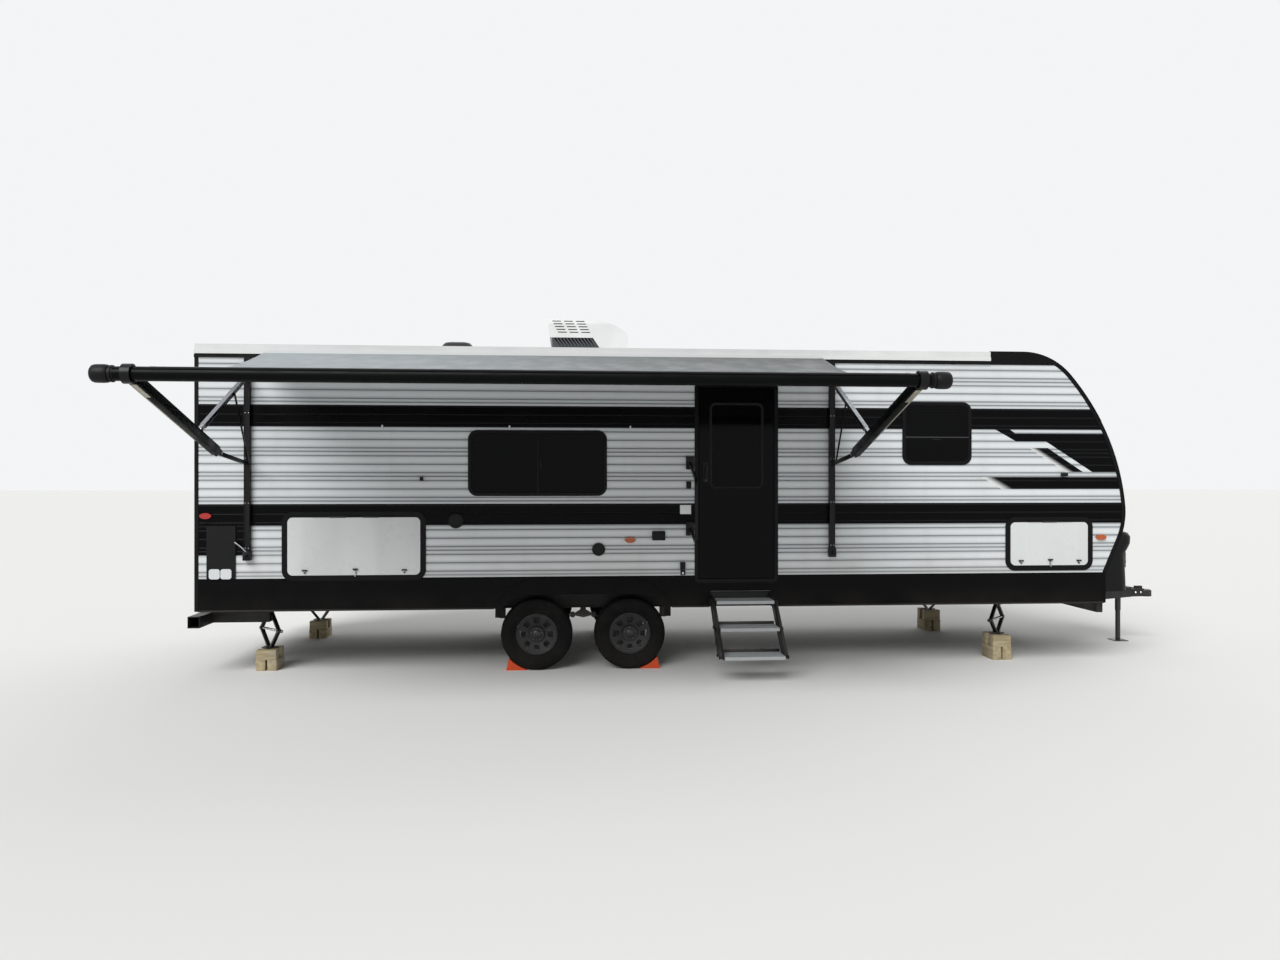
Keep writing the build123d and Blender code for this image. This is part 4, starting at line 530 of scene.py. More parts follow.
class Shape:
    """A mesh put together from simple solids, in row-frame metres, that becomes one piece."""

    def __init__(self, name, look):
        self.name = name
        self.look = look
        self.mesh = bmesh.new()

    def place(self, matrix, size, bevel):
        """A block of that size about the matrix's origin, its edges rounded over."""
        corners = bmesh.ops.create_cube(self.mesh, size=1.0)["verts"]
        bmesh.ops.transform(self.mesh, matrix=matrix @ Matrix.Diagonal((*size, 1.0)), verts=corners)
        if bevel:
            edges = list(dict.fromkeys(edge for corner in corners for edge in corner.link_edges))
            bmesh.ops.bevel(self.mesh, geom=edges, offset=bevel, segments=2, profile=0.5, affect="EDGES")

    def block(self, low, high, bevel=0.0):
        """A block between two corners."""
        low, high = Vector(low), Vector(high)
        self.place(Matrix.Translation((low + high) / 2), high - low, bevel)

    def wall_block(self, xs, reaches, zs, bevel, side=-1):
        """A block on a side wall, between two of each: x, distance outboard and height."""
        self.block(*[on_wall(*corner, side) for corner in zip(xs, reaches, zs)], bevel)

    def bar(self, x, places, width, depth, bevel):
        """A bar between two (distance outboard, height) places at one x; its width is along X."""
        start, end = [on_wall(x, *place) for place in places]
        run = end - start
        turn = Matrix.Rotation(atan2(run.z, run.y), 4, "X")
        self.place(Matrix.Translation((start + end) / 2) @ turn, (width, run.length, depth), bevel)

    def skin(self, rings, closed=False):
        """A skin through rings of corners or single corners, with flat ends, or joined end to end."""
        rings = [[self.mesh.verts.new(point) for point in ring] for ring in rings]
        for low, high in zip(rings, rings[1:] + rings[:1] if closed else rings[1:]):
            for i in range(max(len(low), len(high))):
                corners = (low[i % len(low)], high[i % len(high)],
                           high[(i + 1) % len(high)], low[(i + 1) % len(low)])
                self.mesh.faces.new(list(dict.fromkeys(corners)))
        if not closed:
            for ring in (rings[0], rings[-1]):
                if len(ring) > 2:
                    self.mesh.faces.new(ring)
        return self

    def stacked(self, levels):
        """A skin through level rounded rectangles: (middle x, height, length, width, corner)."""
        return self.skin([[(x + point.x, point.y, z) for point, _ in rounded_loop(length, width, corner)]
                          for x, z, length, width, corner in levels])

    def turned(self, profile, start, axis, steps=24):
        """A profile of (distance along the axis, radius), turned about the axis from a start point."""
        axis = Vector(axis).normalized()
        side = axis.orthogonal().normalized()
        up = axis.cross(side)
        start = Vector(start)
        return self.skin([hoop(start + far * axis, radius, side, up, steps) for far, radius in profile])

    def tube(self, points, radius, steps=10):
        """A round bar through points, mitred at each bend."""
        points = [Vector(point) for point in points]
        runs = [(b - a).normalized() for a, b in zip(points, points[1:])]
        tangents = [runs[0]] + [(a + b).normalized() for a, b in zip(runs, runs[1:])] + [runs[-1]]
        side = runs[0].orthogonal().normalized()
        rings = []
        for point, tangent in zip(points, tangents):
            side = (side - side.dot(tangent) * tangent).normalized()
            rings.append(hoop(point, radius, side, tangent.cross(side), steps))
        return self.skin(rings)

    def surround(self, size, corner, section, put):
        """A moulding round a rounded rectangle, of a section (outward offset, reach), where put says."""
        rings = [[put(*(point + offset * outward), reach) for offset, reach in section]
                 for point, outward in rounded_loop(*size, corner)]
        return self.skin(rings, closed=True)

    def head(self, place, axis, radius, height):
        """A rounded screw head."""
        self.turned(((0, radius), (height * 0.6, radius * 0.85), (height, 0)), place, axis, 8)

    def done(self, slot, body="trailer", replaces=(), sharp=35):
        """Makes the piece, with soft shading over its shallow edges, on its body."""
        bmesh.ops.recalc_face_normals(self.mesh, faces=self.mesh.faces)
        data = bpy.data.meshes.new(self.name)
        self.mesh.to_mesh(data)
        self.mesh.free()
        data.shade_smooth()
        data.set_sharp_from_angle(angle=radians(sharp))
        data.materials.append(self.look.material)
        piece = shown(self.name, data)
        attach(piece, body)
        if replaces:
            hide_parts(*replaces)
        return piece


def shown(name, data):
    """An object in the scene."""
    thing = bpy.data.objects.new(name, data)
    bpy.context.scene.collection.objects.link(thing)
    return thing


# Wheels: the tread's notches, with the shares of a pitch where the mesh has rings, its grooves and the hub
tyre_notches = 52
notch_spans = (0.0, 0.45, 0.86, 0.89, 0.97)
notch_start = 0.89
notch_depth = 0.005
crown_drop = 0.004
crown_half = 0.09
groove_middles = (0.018, 0.048)
groove_half = 0.0045
groove_slant = 0.001
groove_depth = 0.007
tyre_wall = (
    # share of half the width, inset from the tread's radius
    (0.78, 0.1385),
    (0.84, 0.1340),
    (0.88, 0.1200),
    (0.955, 0.0950),
    (0.965, 0.0940),
    (1.00, 0.0680),
    (0.99, 0.0480),
    (0.975, 0.0465),
    (0.945, 0.0280),
    (0.89, 0.0120),
    (0.82, 0.0045),
)
shoulder_inset = 0.02
hub_face = 0.0785
hub_profile = ((0, 0.037), (0.004, 0.037), (0.005, 0.0353), (0.020, 0.0353), (0.0222, 0.032), (0.0235, 0))
nut_profile = ((0, 0.0105), (0.012, 0.0105), (0.017, 0.0065), (0.019, 0))
nut_circle = 0.052
nut_count = 5
valve_circle = 0.160
valve_turn = 0.9


def tread_profile():
    """Half of the tyre's section from bead to middle: (distance from the middle plane, inset, notched)."""
    half_width = (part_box("tyre_rear_right")[1].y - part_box("tyre_rear_right")[0].y) / 2
    profile = [(share * half_width, inset, share < 0.90 and inset < shoulder_inset)
               for share, inset in tyre_wall]
    for middle in reversed(groove_middles):
        outer, inner = middle + groove_half, middle - groove_half
        profile += [(outer + groove_slant, 0.0, middle == groove_middles[-1]),
                    (outer - groove_slant, groove_depth, False),
                    (inner + groove_slant, groove_depth, False), (inner - groove_slant, 0.0, False)]
    return profile


def tyre(end):
    """A road tyre: bulged walls with a guard rib, grooves round the tread and notched shoulders."""
    middle = box_middle(f"tyre_{end}")
    half = tread_profile()
    profile = half + [(-far, inset, notched) for far, inset, notched in reversed(half)]
    rings = []
    for i, span in [(i, span) for i in range(tyre_notches) for span in notch_spans]:
        turn = 2 * pi * (i + span) / tyre_notches
        ring = []
        for far, inset, notched in profile:
            cut = notch_depth if notched and span >= notch_start else 0.0
            crown = crown_drop * min(1.0, abs(far) / crown_half) ** 2 * (inset < shoulder_inset)
            reach = middle.z - inset - cut - crown
            along, up = reach * cos(turn), reach * sin(turn)
            ring.append((middle.x + along, middle.y + far, middle.z + up))
        rings.append(ring)
    shape = Shape(f"tyre_tread_{end}", rubber).skin(rings, closed=True)
    shape.done("tyre", f"wheel_{end}", [f"tyre_{end}"], sharp=25)


def spoke(turn):
    """A wheel's outward direction at that turn."""
    return Vector((cos(turn), 0, sin(turn)))


def hub_fittings(end, side):
    """A dark grease cap inside five lug nuts, and the valve."""
    body = f"wheel_{end}"
    middle = box_middle(f"tyre_{end}")
    out = Vector((0, side, 0))
    face = middle + hub_face * out
    Shape(f"hub_cap_{end}", hub_dark).turned(hub_profile, face, out).done("rim_dark", body)
    nuts = Shape(f"lug_nuts_{end}", nut_grey)
    for i in range(nut_count):
        nuts.turned(nut_profile, face + nut_circle * spoke(2 * pi * (i + 0.25) / nut_count), out, 6)
    nuts.done("steel", body)
    stem = [middle + (valve_circle + back) * spoke(valve_turn) + far * out
            for back, far in ((0.010, 0.030), (0, 0.052), (0, 0.074))]
    Shape(f"valve_{end}", plastic_black).tube(stem, 0.0045).done("black_plastic", body)


# Windows and doors: moulding sections as (outward offset, reach), and turned profiles as (height, radius)
divider_drop = 0.035
frame_loss = 0.028
seal_section = ((0.0005, 0.0036), (0.0005, 0.0068), (-0.0045, 0.0062), (-0.0065, 0.0036))
pane_section = ((-0.005, 0.0072), (-0.005, 0.0105), (0.000, 0.0125), (0.014, 0.0125), (0.018, 0.0088))
lock_profile = ((0, 0.0085), (0.003, 0.0085), (0.004, 0.006), (0.0038, 0))
barrel_profile = ((0, 0.005), (0.003, 0.005), (0.0038, 0.0035), (0.0035, 0))
latch_shares = (0.13, 0.51, 0.88)


def window_trims():
    """Rubber between each pane and its frame, and a pull or a pale strip at the divider."""
    seals = Shape("window_seals", rubber)
    strips = Shape("window_strips", plastic("strip_grey", (84, 85, 86), 0.4))
    pulls = Shape("window_pulls", plastic_black)
    for x, z, width, height, side in windows:
        size = (width - 2 * frame_loss, height - 2 * frame_loss)
        seals.surround(size, window_corner - frame_loss, seal_section,
                       lambda across, up, reach: on_wall(x + across, reach, z + up, side))
        if width > 1:
            pulls.wall_block((x + 0.020, x + 0.032), (0.0036, 0.0085), (z - 0.045, z + 0.045), 0.002, side)
            continue
        half, middle_z = size[0] / 2, z - divider_drop
        heights = (middle_z - 0.0022, middle_z + 0.0022)
        strips.wall_block((x - half, x + half), (0.0076, 0.0090), heights, 0.0006, side)
        heights = (middle_z - 0.026, middle_z - 0.016)
        pulls.wall_block((x - 0.04, x + 0.04), (0.0036, 0.0078), heights, 0.0015, side)
    seals.done("black_plastic")
    strips.done("steel")
    pulls.done("black_plastic")


def door_trims():
    """The trim round the entry door's pane, and the lock in its handle."""
    low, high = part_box("entry_door_glass")
    middle = (low + high) / 2
    trim = Shape("door_pane_trim", plastic_black)
    trim.surround((high.x - low.x, high.z - low.z), 0.040, pane_section,
                  lambda across, up, reach: on_wall(middle.x + across, reach, middle.z + up))
    trim.done("black_plastic", "entry_door")
    place = on_wall(box_middle("entry_door_handle").x, 0.019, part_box("entry_door_handle")[0].z + 0.016)
    Shape("door_locks", jack_steel).turned(lock_profile, place, (0, -1, 0)).done("steel", "entry_door")


def baggage_trims(node):
    """Bright lock barrels on a baggage door's latches, and a pin through the middle one."""
    low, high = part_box(node)
    side = -1 if node.endswith("right") else 1
    locks = Shape(f"{node}_locks", bright_steel)
    places = [low.x + share * (high.x - low.x) for share in latch_shares]
    for x in places:
        locks.turned(barrel_profile, on_wall(x, 0.0205, low.z + 0.034, side), (0, side, 0), 12)
    pin = (places[1] - 0.0045, places[1] + 0.0045)
    locks.wall_block(pin, (0.0213, 0.0250), (low.z - 0.012, low.z + 0.030), 0.0015, side)
    locks.done("steel", node)


# Awning
cap_length = 0.150
roller_radius = 0.048
cap_radius = (roller_high.z - roller_low.z) / 2
cap_profile = ((0, 0), (0.001, 0.030), (0.005, 0.045), (0.014, 0.055), (0.028, 0.060), (0.050, cap_radius),
               (0.082, cap_radius), (0.104, 0.0595), (0.114, 0.055), (0.116, 0.049), (0.127, 0.049),
               (0.128, 0.056), (0.140, 0.056), (0.141, 0.0495), (cap_length, 0.0495), (cap_length, 0))
roller_slots = 3
slot_half_turn = radians(3.4)
slot_depth = 0.007
cloth_columns = 96
cloth_rows = 28
cloth_thick = 0.0012
cloth_sag = 0.10
hem_width = 0.035
channel_bolts, bolt_pitch = 5, 0.40
lever_bends = (
    # distance behind the arm, distance outboard, height over the channel's foot
    (0.110, 0.024, 0.112),
    (0.040, 0.040, 0.062),
    (0.004, 0.048, 0.026),
)
joint_discs = (
    # the joint's place, width across its arm, disc's radius
    (outer_arm_root, outer_arm_width, 0.019),
    (inner_arm_root, 0.041, 0.010),
    (inner_arm_tip, 0.041, 0.010),
    (link_root, 0.037, 0.010),
)


def awning_roller():
    """A slotted tube between ribbed end caps."""
    section = []
    plain = 2 * pi / roller_slots - 2 * slot_half_turn
    for i in range(roller_slots):
        start = 2 * pi * i / roller_slots + 0.5
        for way, insets in ((-1, (0, slot_depth)), (1, (slot_depth, 0))):
            section += [(start + way * slot_half_turn, roller_radius - inset) for inset in insets]
        section += [(start + slot_half_turn + plain * k / 12, roller_radius) for k in range(1, 12)]
    rings = [[(x, roller_y + radius * cos(turn), roller_z + radius * sin(turn))
              for turn, radius in section]
             for x in (roller_low.x + cap_length / 2, roller_high.x - cap_length / 2)]
    Shape("roller_tube", roller_black).skin(rings).done("black_metal", replaces=["awning_roller"])
    caps = Shape("roller_caps", plastic_black)
    for x, way in ((roller_low.x, 1), (roller_high.x, -1)):
        caps.turned(cap_profile, (x, roller_y, roller_z), (way, 0, 0), 36)
    caps.done("black_plastic")


def cloth_point(u, v, lift=0.0):
    """A point of the cloth: u runs along the wall, v from the wall to the roller."""
    x = cloth_low.x + u * (cloth_high.x - cloth_low.x)
    wall = Vector((x, cloth_high.y, cloth_high.z - cloth_thick))
    roller = Vector((x, roller_y, roller_z + roller_radius))
    edge = sin(pi * min(1.0, max(0.0, u))) ** 0.35
    sag = cloth_sag * 4 * v * (1 - v) * (0.9 + 0.1 * edge)
    ripple = 0.006 * sin(9 * pi * u + 1.3 * v) + 0.004 * sin(23 * u + 4 * v)
    return wall.lerp(roller, v) + Vector((0, 0, lift - sag + ripple * sin(pi * v)))


def cloth_strip(name, u_span, columns, lift, thick):
    """A sheet over part of the cloth's width, that thick."""
    rings = []
    for i in range(columns + 1):
        u = u_span[0] + (u_span[1] - u_span[0]) * i / columns
        under = [cloth_point(u, j / cloth_rows, lift) for j in range(cloth_rows + 1)]
        over = [cloth_point(u, j / cloth_rows, lift + thick) for j in range(cloth_rows, -1, -1)]
        rings.append(under + over)
    return Shape(name, vinyl).skin(rings).done("awning_fabric")


def awning_cloth():
    """The stretched cloth with a doubled hem along each side."""
    width = cloth_high.x - cloth_low.x
    share = hem_width / width
    piece = cloth_strip("awning_fabric", (0, 1), cloth_columns, 0.0, cloth_thick)
    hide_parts("awning_cloth")
    hems = [cloth_strip(f"awning_hem_{name}", span, 2, cloth_thick, cloth_thick)
            for name, span in (("rear", (0, share)), ("front", (1 - share, 1)))]


def arm_span(start, end, shares, drop=0.0):
    """Two places along an arm, in (outboard, height), moved off it by a drop across the arm."""
    start, end = Vector(start), Vector(end)
    across = Vector((end.y - start.y, start.x - end.x)).normalized()
    return [start.lerp(end, share) + drop * across for share in shares]


def arm_covers():
    """Covers on the arms and links, pale strips on the outer arms, and the rear channel's lever."""
    covers = Shape("outer_arm_covers", paint("cover_black", (4, 4, 5), 0.4, 0.06, (30, 30, 30)))
    bright = Shape("inner_arm_covers", awning_inner_metal())
    strips = Shape("arm_strips", metal("edge_pale", (176, 172, 158), 0.42))
    for x, outboard in zip(arm_places, (-1, 1)):
        covers.bar(x, arm_span(outer_arm_root, roller_place, (0.035, 0.945)), *outer_cover, 0.004)
        edge_x = x + outboard * (outer_cover[0] / 2 - 0.006)
        for strip_x, width, first in ((edge_x, 0.011, 0.25), (edge_x - outboard * 0.023, 0.032, 0.80)):
            edge = arm_span(outer_arm_root, roller_place, (first, 0.94), outer_cover[1] / 2)
            strips.bar(strip_x, edge, width, 0.003, 0.0008)
        bright.bar(x, arm_span(inner_arm_root, inner_arm_tip, (0.05, 0.94)), *inner_cover, 0.002)
        covers.bar(x, arm_span(link_root, outer_arm_root, (0.09, 0.90)), *link_cover, 0.002)
    covers.done("black_metal")
    bright.done("arm_grey")
    lever = [on_wall(arm_places[0] - back, out, channel_z[0] + up) for back, out, up in lever_bends]
    Shape("awning_lever", metal("arm_grey", (176, 178, 180), 0.32)).tube(lever, 0.0065).done("arm_grey")
    strips.done("arm_grey")


def arm_fittings():
    """Discs and bolts on the joints; bolts, lips and feet on the channels."""
    joints = Shape("arm_joint_covers", plastic_black)
    bolts = Shape("awning_bolts", bright_steel)
    feet = Shape("channel_feet", arm_black)
    low_z, high_z = channel_z
    for x in arm_places:
        for (out, z), width, radius in joint_discs:
            for way in (-1, 1):
                place = on_wall(x + way * (width / 2 - 0.001), out, z)
                disc = ((0, radius), (0.003, radius), (0.0042, radius * 0.7), (0.0042, 0))
                joints.turned(disc, place, (way, 0, 0), 20)
                bolts.head(place + Vector((way * 0.0042, 0, 0)), (way, 0, 0), radius * 0.45, 0.003)
        for i in range(channel_bolts):
            for way in (-1, 1):
                place = on_wall(x + way * 0.014, channel_depth, low_z + 0.06 + i * bolt_pitch)
                bolts.head(place, (0, -1, 0), 0.0045, 0.0025)
        for way in (-1, 1):
            lip = x + way * (channel_width / 2 - 0.004)
            feet.wall_block((lip - 0.0035, lip + 0.0035), (channel_depth - 0.001, channel_depth + 0.005),
                            (low_z + 0.01, high_z - 0.01), 0.0012)
        feet.wall_block((x - 0.034, x + 0.034), (0.0005, 0.058), (low_z - 0.050, low_z + 0.030), 0.004)
        feet.bar(x, ((0.050, low_z - 0.020), (0.118, low_z + 0.014)), 0.026, 0.010, 0.003)
    joints.done("black_plastic")
    bolts.done("steel")
    feet.done("black_metal")


# Roof: the air conditioner's slots and fins, and the vent's dome as (lift, inset)
sealant_section = ((0.012, -0.001), (0.006, 0.004), (-0.010, 0.005), (-0.022, -0.001))
stack_profile = ((-0.001, 0.082), (0.004, 0.076), (0.005, 0.060), (0.0051, 0))
slot_rows, slot_columns = 5, 3
slot_size = (0.088, 0.010)
slot_lean = 0.014
slot_pitch = (0.118, 0.028)
slot_gap = 0.0005
fin_count = 12
fin_pitch = 0.034
fin_width = 0.014
fin_slant = 0.102
fin_height = 0.116
dome_levels = ((0.0, 0.0), (0.006, 0.0), (0.014, 0.008), (0.090, 0.030), (0.118, 0.052), (0.130, 0.090))


def roof_fittings():
    """Sealant round each roof fitting and over the sheet's joints, and the vent's screws."""
    sealant = Shape("roof_sealant", white_plastic)
    for node, spread in (("roof_vent_base", 0.022), ("air_conditioner_base", 0.012)):
        low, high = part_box(node)
        middle = (low + high) / 2
        size = (high.x - low.x + 2 * spread, high.y - low.y + 2 * spread)
        sealant.surround(size, 0.03, sealant_section,
                         lambda along, across, lift: (middle.x + along, middle.y + across, roof_z + lift))
    stack = box_middle("plumbing_vent")
    sealant.turned(stack_profile, (stack.x, stack.y, roof_z), (0, 0, 1), 32)
    half = wall_reach - 0.02
    for x in (roof_rear + 2.4, roof_rear + 4.9):
        sealant.block((x - 0.03, -half, roof_z - 0.001), (x + 0.03, half, roof_z + 0.003), 0.001)
    sealant.done("white_plastic")
    screws = Shape("roof_screws", bright_steel)
    low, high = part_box("roof_vent_base")
    for i in range(5):
        for y in (low.y - 0.016, high.y + 0.016):
            x = low.x + 0.03 + i * (high.x - low.x - 0.08) / 4
            screws.head((x, y, roof_z + 0.0045), (0, 0, 1), 0.006, 0.003)
    screws.done("steel")


def cooler_shadows():
    """Dark blocks of painted shade inside the air conditioner's slots and in the gaps between its fins."""
    dark = Shape("cooler_shadows", plastic("painted_gap_shade", (5, 5, 6), 0.6, 0.1))
    low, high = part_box("air_conditioner")
    first_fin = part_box("air_conditioner_base")[0].x + fin_width
    for way in (-1, 1):
        for row in range(slot_rows):
            z = high.z - slot_pitch[1] * (row + 1.2) + slot_gap
            front = high.y - (0.010 if row else 0.016)
            for column in range(slot_columns):
                x = low.x + 0.050 + slot_lean * row + slot_pitch[0] * column + slot_gap
                dark.block((x, way * (high.y - 0.0225), z),
                           (x + slot_size[0] - 2 * slot_gap, way * front, z + slot_size[1] - 2 * slot_gap))
        for i in range(fin_count - 1):
            gap = []
            for drop, shift in ((0.195, 0.0), (0.194 + fin_height, fin_slant)):
                start = first_fin + i * fin_pitch + shift + slot_gap
                end = start + fin_pitch - fin_width - 2 * slot_gap
                gap.append([(x, way * y, high.z - drop) for x, y in ((start, 0.3255), (end, 0.3255),
                                                                     (end, 0.330), (start, 0.330))])
            dark.skin(gap)
    dark.done("dark_grille")


def vent_dome():
    """The smoked dome on the roof vent's lid, which stands above the roof's line."""
    low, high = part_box("roof_vent_lid")
    x, width = (low.x + high.x) / 2 - 0.004, high.y - low.y - 0.008
    levels = [(x, high.z - 0.001 + lift, width - 2 * inset, width - 2 * inset, 0.05)
              for lift, inset in dome_levels]
    Shape("vent_dome", smoked).stacked(levels).done("smoked_lid", "roof_vent_lid")


# Entry steps: height and reach of each tread, x of their middle, half their width, thickness
treads = ((0.660, 0.130), (0.450, 0.350), (0.240, 0.570))
step_middle = -4.395
tread_half = 0.2625
tread_thickness = 0.028


def step_frames():
    """Two channels and their pins on each side of the entry steps, and a bar behind each lower tread."""
    frames = Shape("step_frames", chassis_paint)
    pins = Shape("step_pins", plastic_black)
    for upper, lower in zip(treads, treads[1:]):
        for side in (-1, 1):
            x = step_middle + side * (tread_half + 0.0215)
            for shift in (-0.062, 0.062):
                ends = [(out + shift, z - tread_thickness / 2) for z, out in (upper, lower)]
                frames.bar(x, ends, 0.025, 0.044, 0.003)
                for end in ends:
                    profile = ((0, 0.017), (0.006, 0.016), (0.008, 0.011), (0.008, 0))
                    pins.turned(profile, on_wall(x + side * 0.0125, *end), (side, 0, 0), 14)
        z, out = lower
        frames.wall_block((step_middle - tread_half, step_middle + tread_half), (out - 0.127, out - 0.116),
                          (z - tread_thickness, z + 0.026), 0.002)
    frames.done("black_metal")
    pins.done("black_plastic")


# Jacks and their timbers
def jack_fittings():
    """Threads on each corner jack's screw, and its drive end."""
    threads = Shape("jack_threads", bright_steel)
    ridges = [(-0.128 + i * 0.0064 + step, radius)
              for i in range(40) for step, radius in ((0, 0.0092), (0.0032, 0.0112))]
    for x, block_height, turn, crank_way in corner_jacks:
        for side in (-1, 1):
            angle = radians(turn) * -side
            way = Vector((cos(angle), sin(angle), 0))
            middle = Vector((x, side * rail_reach, (0.540 + block_height) / 2))
            threads.turned(ridges, middle, way, 12)
            way *= crank_way
            threads.turned(((0, 0.011), (0.024, 0.011), (0.024, 0)), middle + 0.186 * way, way, 6)
    threads.done("steel")


def jack_timbers():
    """Each jack stands on crossed beams: two laid across the trailer, two along it on top."""
    across = Shape("timber_across", timber("timber_across", (1, 0.12, 1)))
    along = Shape("timber_along", timber("timber_along", (0.12, 1, 1)))
    half = block_size / 2
    beam_half = block_size * 0.39
    beam = beam_half * 0.9
    for x, height, _, _ in corner_jacks:
        for y in (-rail_reach, rail_reach):
            for way in (-1, 1):
                near, far = x + way * (beam_half - beam), x + way * beam_half
                across.block((near, y - half, 0), (far, y + half, height * 0.52), 0.004)
                near, far = y + way * (half - beam), y + way * half
                along.block((x - beam_half + 0.003, near, height * 0.52),
                            (x + beam_half - 0.004, far, height), 0.004)
    across.done("timber", replaces=["jack_blocks"])
    along.done("timber", replaces=["jack_blocks"])


# Chassis, bumper and tongue
def bumper_brackets():
    """Plates that carry the bumper from the rear ends of the main rails."""
    brackets = Shape("bumper_brackets", chassis_paint)
    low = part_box("rear_bumper")[0]
    start, end = low.x + 0.10, low.x + 0.62
    for y in (-rail_reach, rail_reach):
        for plate in (y - 0.052, y + 0.052):
            brackets.block((start, plate - 0.004, low.z + 0.010), (end, plate + 0.004, 0.60), 0.002)
        brackets.block((start, y - 0.056, low.z + 0.006), (end, y + 0.056, low.z + 0.014), 0.002)
    brackets.done("black_metal")


def axle_clamps():
    """Clamping bolts with a plate at each crossing of axle and spring."""
    clamps = Shape("axle_clamps", axle_paint)
    turns = [pi - pi * k / 6 for k in range(1, 6)]
    bend = [(0.033 * cos(turn), -0.02 - 0.030 * sin(turn)) for turn in turns]
    bolt = [(-0.033, 0.125), (-0.033, -0.02)] + bend + [(0.033, -0.02), (0.033, 0.125)]
    for end in ("rear_right", "front_right"):
        middle = box_middle(f"tyre_{end}")
        for y in (-rail_reach, rail_reach):
            for x in (middle.x - 0.045, middle.x + 0.045):
                clamps.tube([(x, y + aside, middle.z + up) for aside, up in bolt], 0.0055, 8)
    clamps.done("black_metal")


gas_lid = (
    # z, rear x, front x, half the width, corner
    (0.985, -0.604, -0.096, 0.364, 0.106),
    (1.030, -0.606, -0.070, 0.368, 0.106),
    (1.080, -0.606, -0.046, 0.369, 0.106),
    (1.150, -0.600, -0.040, 0.366, 0.104),
    (1.190, -0.576, -0.058, 0.346, 0.100),
    (1.211, -0.530, -0.104, 0.300, 0.096),
    (1.218, -0.450, -0.200, 0.220, 0.090),
)


def gas_cover_lid():
    """The lid that hoods the gas bottle cover, bulged to the front, with a strap on each side."""
    lid = Shape("gas_cover_lid", plastic_black)
    lid.stacked([((rear + front) / 2, z, front - rear, 2 * half, corner)
                 for z, rear, front, half, corner in gas_lid])
    for y in (-0.371, 0.371):
        lid.block((-0.370, y - 0.004, 0.890), (-0.330, y + 0.004, 1.060), 0.003)
        lid.block((-0.378, y - 0.006, 0.880), (-0.322, y + 0.006, 0.915), 0.004)
    lid.done("black_plastic", sharp=50)


skirt_strips = (
    # rear x, front x, side
    (-9.270, -6.662, -1),
    (-5.036, -4.685, -1),
    (-4.105, -0.885, -1),
    (-9.270, -6.662, 1),
    (-5.036, -0.885, 1),
)


def skirt_edges():
    """The rolled edge along the foot of each skirt."""
    edges = Shape("skirt_edges", paint("edge_brown", (40, 37, 31), 0.5, 0.2, (66, 60, 50)))
    rise = (skirt_foot - 0.005, skirt_foot + 0.010)
    for rear, front, side in skirt_strips:
        edges.wall_block((rear, front), (-0.012, 0.0035), rise, 0.002, side)
    edges.done("black_metal")


# Tail lamps: distance from the middle, height, half the width, the rim's width, the ring in the lens
lamp_y, lamp_z, lamp_half, lamp_rim = 0.980, 1.000, 0.075, 0.006
lens_ring = ((0, 0.052), (0.003, 0.051), (0.003, 0.044), (0.0005, 0.042), (0.0005, 0))


def tail_lamp_fittings():
    """A dark rim round each tail lamp and a raised ring in its lens."""
    rims = Shape("tail_lamp_rims", plastic_black)
    rings = Shape("tail_lamp_rings", lens_red)
    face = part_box("red_lamps")[0].x
    half, out = lamp_half, lamp_half + lamp_rim
    for y in (-lamp_y, lamp_y):
        for ys, zs in (((-out, out), (half, out)), ((-out, out), (-out, -half)),
                       ((-out, -half), (-half, half)), ((half, out), (-half, half))):
            low, high = zip(ys, zs)
            rims.block((face + 0.004, y + low[0], lamp_z + low[1]),
                       (face + 0.023, y + high[0], lamp_z + high[1]), 0.0015)
        rings.turned(lens_ring, (face, y, lamp_z), (-1, 0, 0), 32)
    rims.done("black_plastic")
    rings.done("red")


def tongue_fittings():
    """Bolts on the coupler, and the hub and cap of the tongue jack's crank."""
    bolts = Shape("coupler_bolts", bright_steel)
    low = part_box("coupler")[0]
    for side in (-1, 1):
        for x in (low.x + 0.045, low.x + 0.105):
            bolts.turned(((0, 0.011), (0.006, 0.011), (0.008, 0.008), (0.008, 0)),
                         (x, side * 0.060, low.z + 0.045), (0, side, 0), 6)
    bolts.done("steel")
    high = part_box("tongue_jack")[1]
    crank = Shape("tongue_jack_crank", plastic_black)
    hub = ((0, 0.020), (0.012, 0.020), (0.016, 0.014), (0.016, 0))
    crank.turned(hub, (high.x - 0.004, 0, 0.86), (1, 0, 0), 16)
    crank.turned(((0, 0.028), (0.010, 0.026), (0.013, 0)), (0, 0, high.z - 0.010), (0, 0, 1), 20)
    crank.done("black_plastic")


# On the walls: x, z and radius of the round covers; x and z spans of the step lamp's hood; the hatch's slats
round_covers = ((-5.711, 1.115, 0.060), (-7.002, 1.378, 0.066))
lamp_hood = (
    ((-4.9600, -4.9460), (0.876, 0.930)),
    ((-4.9280, -4.9140), (0.876, 0.930)),
    ((-4.9460, -4.9280), (0.876, 0.884)),
    ((-4.9460, -4.9280), (0.904, 0.930)),
)
slat_count, slat_foot, slat_pitch = 7, 0.990, 0.036


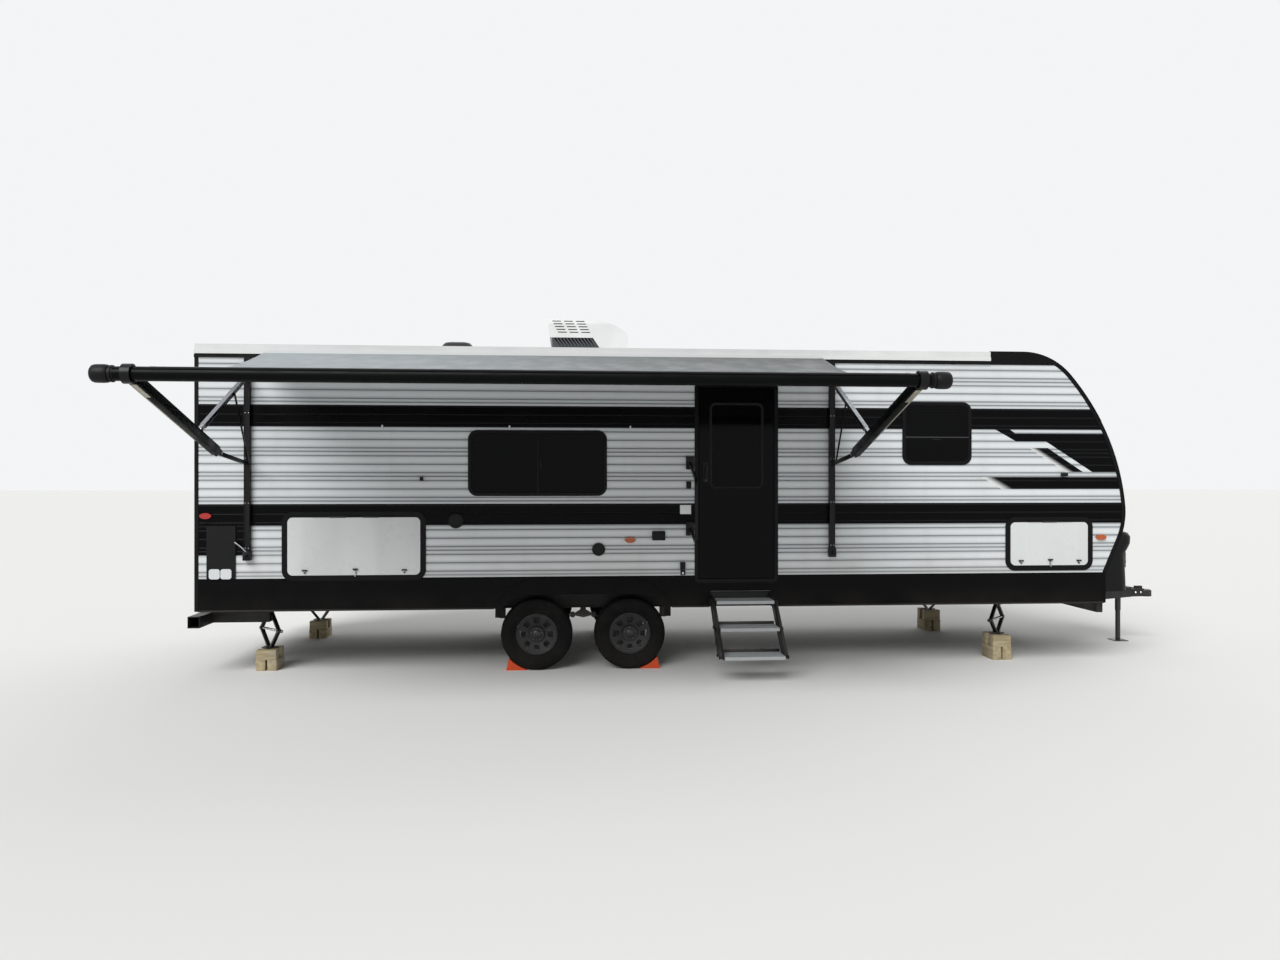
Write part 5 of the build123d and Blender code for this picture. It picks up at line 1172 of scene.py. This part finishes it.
def wall_fittings():
    """Rings on the round covers, the outlet's flap, the step lamp's hood and a blank label by the door."""
    rings = Shape("cover_rings", plastic_black)
    for x, z, radius in round_covers:
        for share in (0.35, 0.55):
            outer, inner = radius * share, radius * (share - 0.08)
            profile = ((0, outer), (0.004, outer * 0.97), (0.004, inner), (0.002, 0))
            rings.turned(profile, on_wall(x, 0.018, z), (0, -1, 0), 32)
    rings.wall_block((-5.211, -5.107), (0.024, 0.0285), (1.2, 1.272), 0.003)
    rings.done("black_plastic")
    hood = Shape("step_lamp_hood", plastic_black)
    for xs, zs in lamp_hood:
        hood.wall_block(xs, (0.0255, 0.0290), zs, 0.0008)
    hood.done("black_plastic")
    label = Shape("wall_label", white_plastic)
    label.wall_block((-4.960, -4.858), (0.0002, 0.0012), (1.436, 1.519), 0.0003)
    label.done("white_plastic")


def hatch_fittings():
    """Louvres on the far side's service hatch, and a disc on its round cap."""
    slats = Shape("hatch_slats", white_plastic)
    for i in range(slat_count):
        z = slat_foot + i * slat_pitch
        slats.wall_block((-7.030, -6.770), (0.0135, 0.0200), (z, z + 0.016), 0.003, 1)
    disc = ((0, 0.040), (0.004, 0.040), (0.006, 0.034), (0.006, 0))
    slats.turned(disc, on_wall(-8.700, 0.030, 1.180, 1), (0, 1, 0), 28)
    slats.done("white_plastic")


for wheel_end in wheel_ends:
    tyre(wheel_end)
    hub_fittings(wheel_end, -1 if wheel_end.endswith("right") else 1)
window_trims()
door_trims()
for door_node in baggage_doors:
    baggage_trims(door_node)
awning_roller()
awning_cloth()
arm_covers()
arm_fittings()
roof_fittings()
cooler_shadows()
step_frames()
vent_dome()
jack_fittings()
jack_timbers()
bumper_brackets()
axle_clamps()
gas_cover_lid()
skirt_edges()
tail_lamp_fittings()
tongue_fittings()
wall_fittings()
hatch_fittings()


# Floor, light and camera
def stage_floor():
    """A pale floor that keeps the object's shadow."""
    size = 150
    mesh = bpy.data.meshes.new("stage_floor")
    corners = [(-size, -size, 0), (size, -size, 0), (size, size, 0), (-size, size, 0)]
    mesh.from_pydata(corners, [], [(0, 1, 2, 3)])
    mesh.materials.append(Finish("stage_pale", (232, 232, 230), 0.9, 0.1).material)
    shown("stage_floor", mesh)


def studio_light():
    """A soft sun from the camera's side, a weaker one from behind, and an even pale world."""
    for name, strength, angle, turn in (("key", 2.55, 0.7, (50, 0, -30)), ("fill", 0.6, 1.2, (55, 0, 150))):
        lamp = bpy.data.lights.new(name, "SUN")
        lamp.energy = strength
        lamp.angle = angle
        shown(name, lamp).rotation_euler = [radians(a) for a in turn]
    world = bpy.data.worlds.new("studio")
    world.use_nodes = True
    bpy.context.scene.world = world
    graph = Graph(world.node_tree)
    lit = world.node_tree.nodes["Background"]
    graph.feed((1, 1, 1, 1), lit.inputs["Color"])
    graph.feed(0.42, lit.inputs["Strength"])
    rays = graph.add("LightPath").outputs
    seen = rays["Is Camera Ray"]
    for key in ("Is Glossy Ray", "Is Transmission Ray"):
        seen = graph.either(seen, rays[key])
    pale = graph.add("Background", {"Color": (0.9, 0.91, 0.92, 1)})
    mix = graph.add("MixShader", {0: seen, 1: lit.outputs[0], 2: pale.outputs[0]})
    graph.feed(mix.outputs[0], world.node_tree.nodes["World Output"].inputs["Surface"])


def photo_camera():
    """The photograph's viewpoint."""
    lens_data = bpy.data.cameras.new("photo_camera")
    lens_data.lens = 26
    lens_data.sensor_width = 36
    lens_data.clip_end = 400
    camera = shown("photo_camera", lens_data)
    camera.location = (-5.963, -9.693, 1.75)
    camera.rotation_euler = (radians(90), 0, radians(-4.27))
    bpy.context.scene.camera = camera


stage_floor()
studio_light()
photo_camera()
bpy.context.scene.view_settings.view_transform = "Standard"


def plain(box):
    """A box as plain lists of numbers."""
    return [[round(float(v), 4) for v in corner] for corner in box]
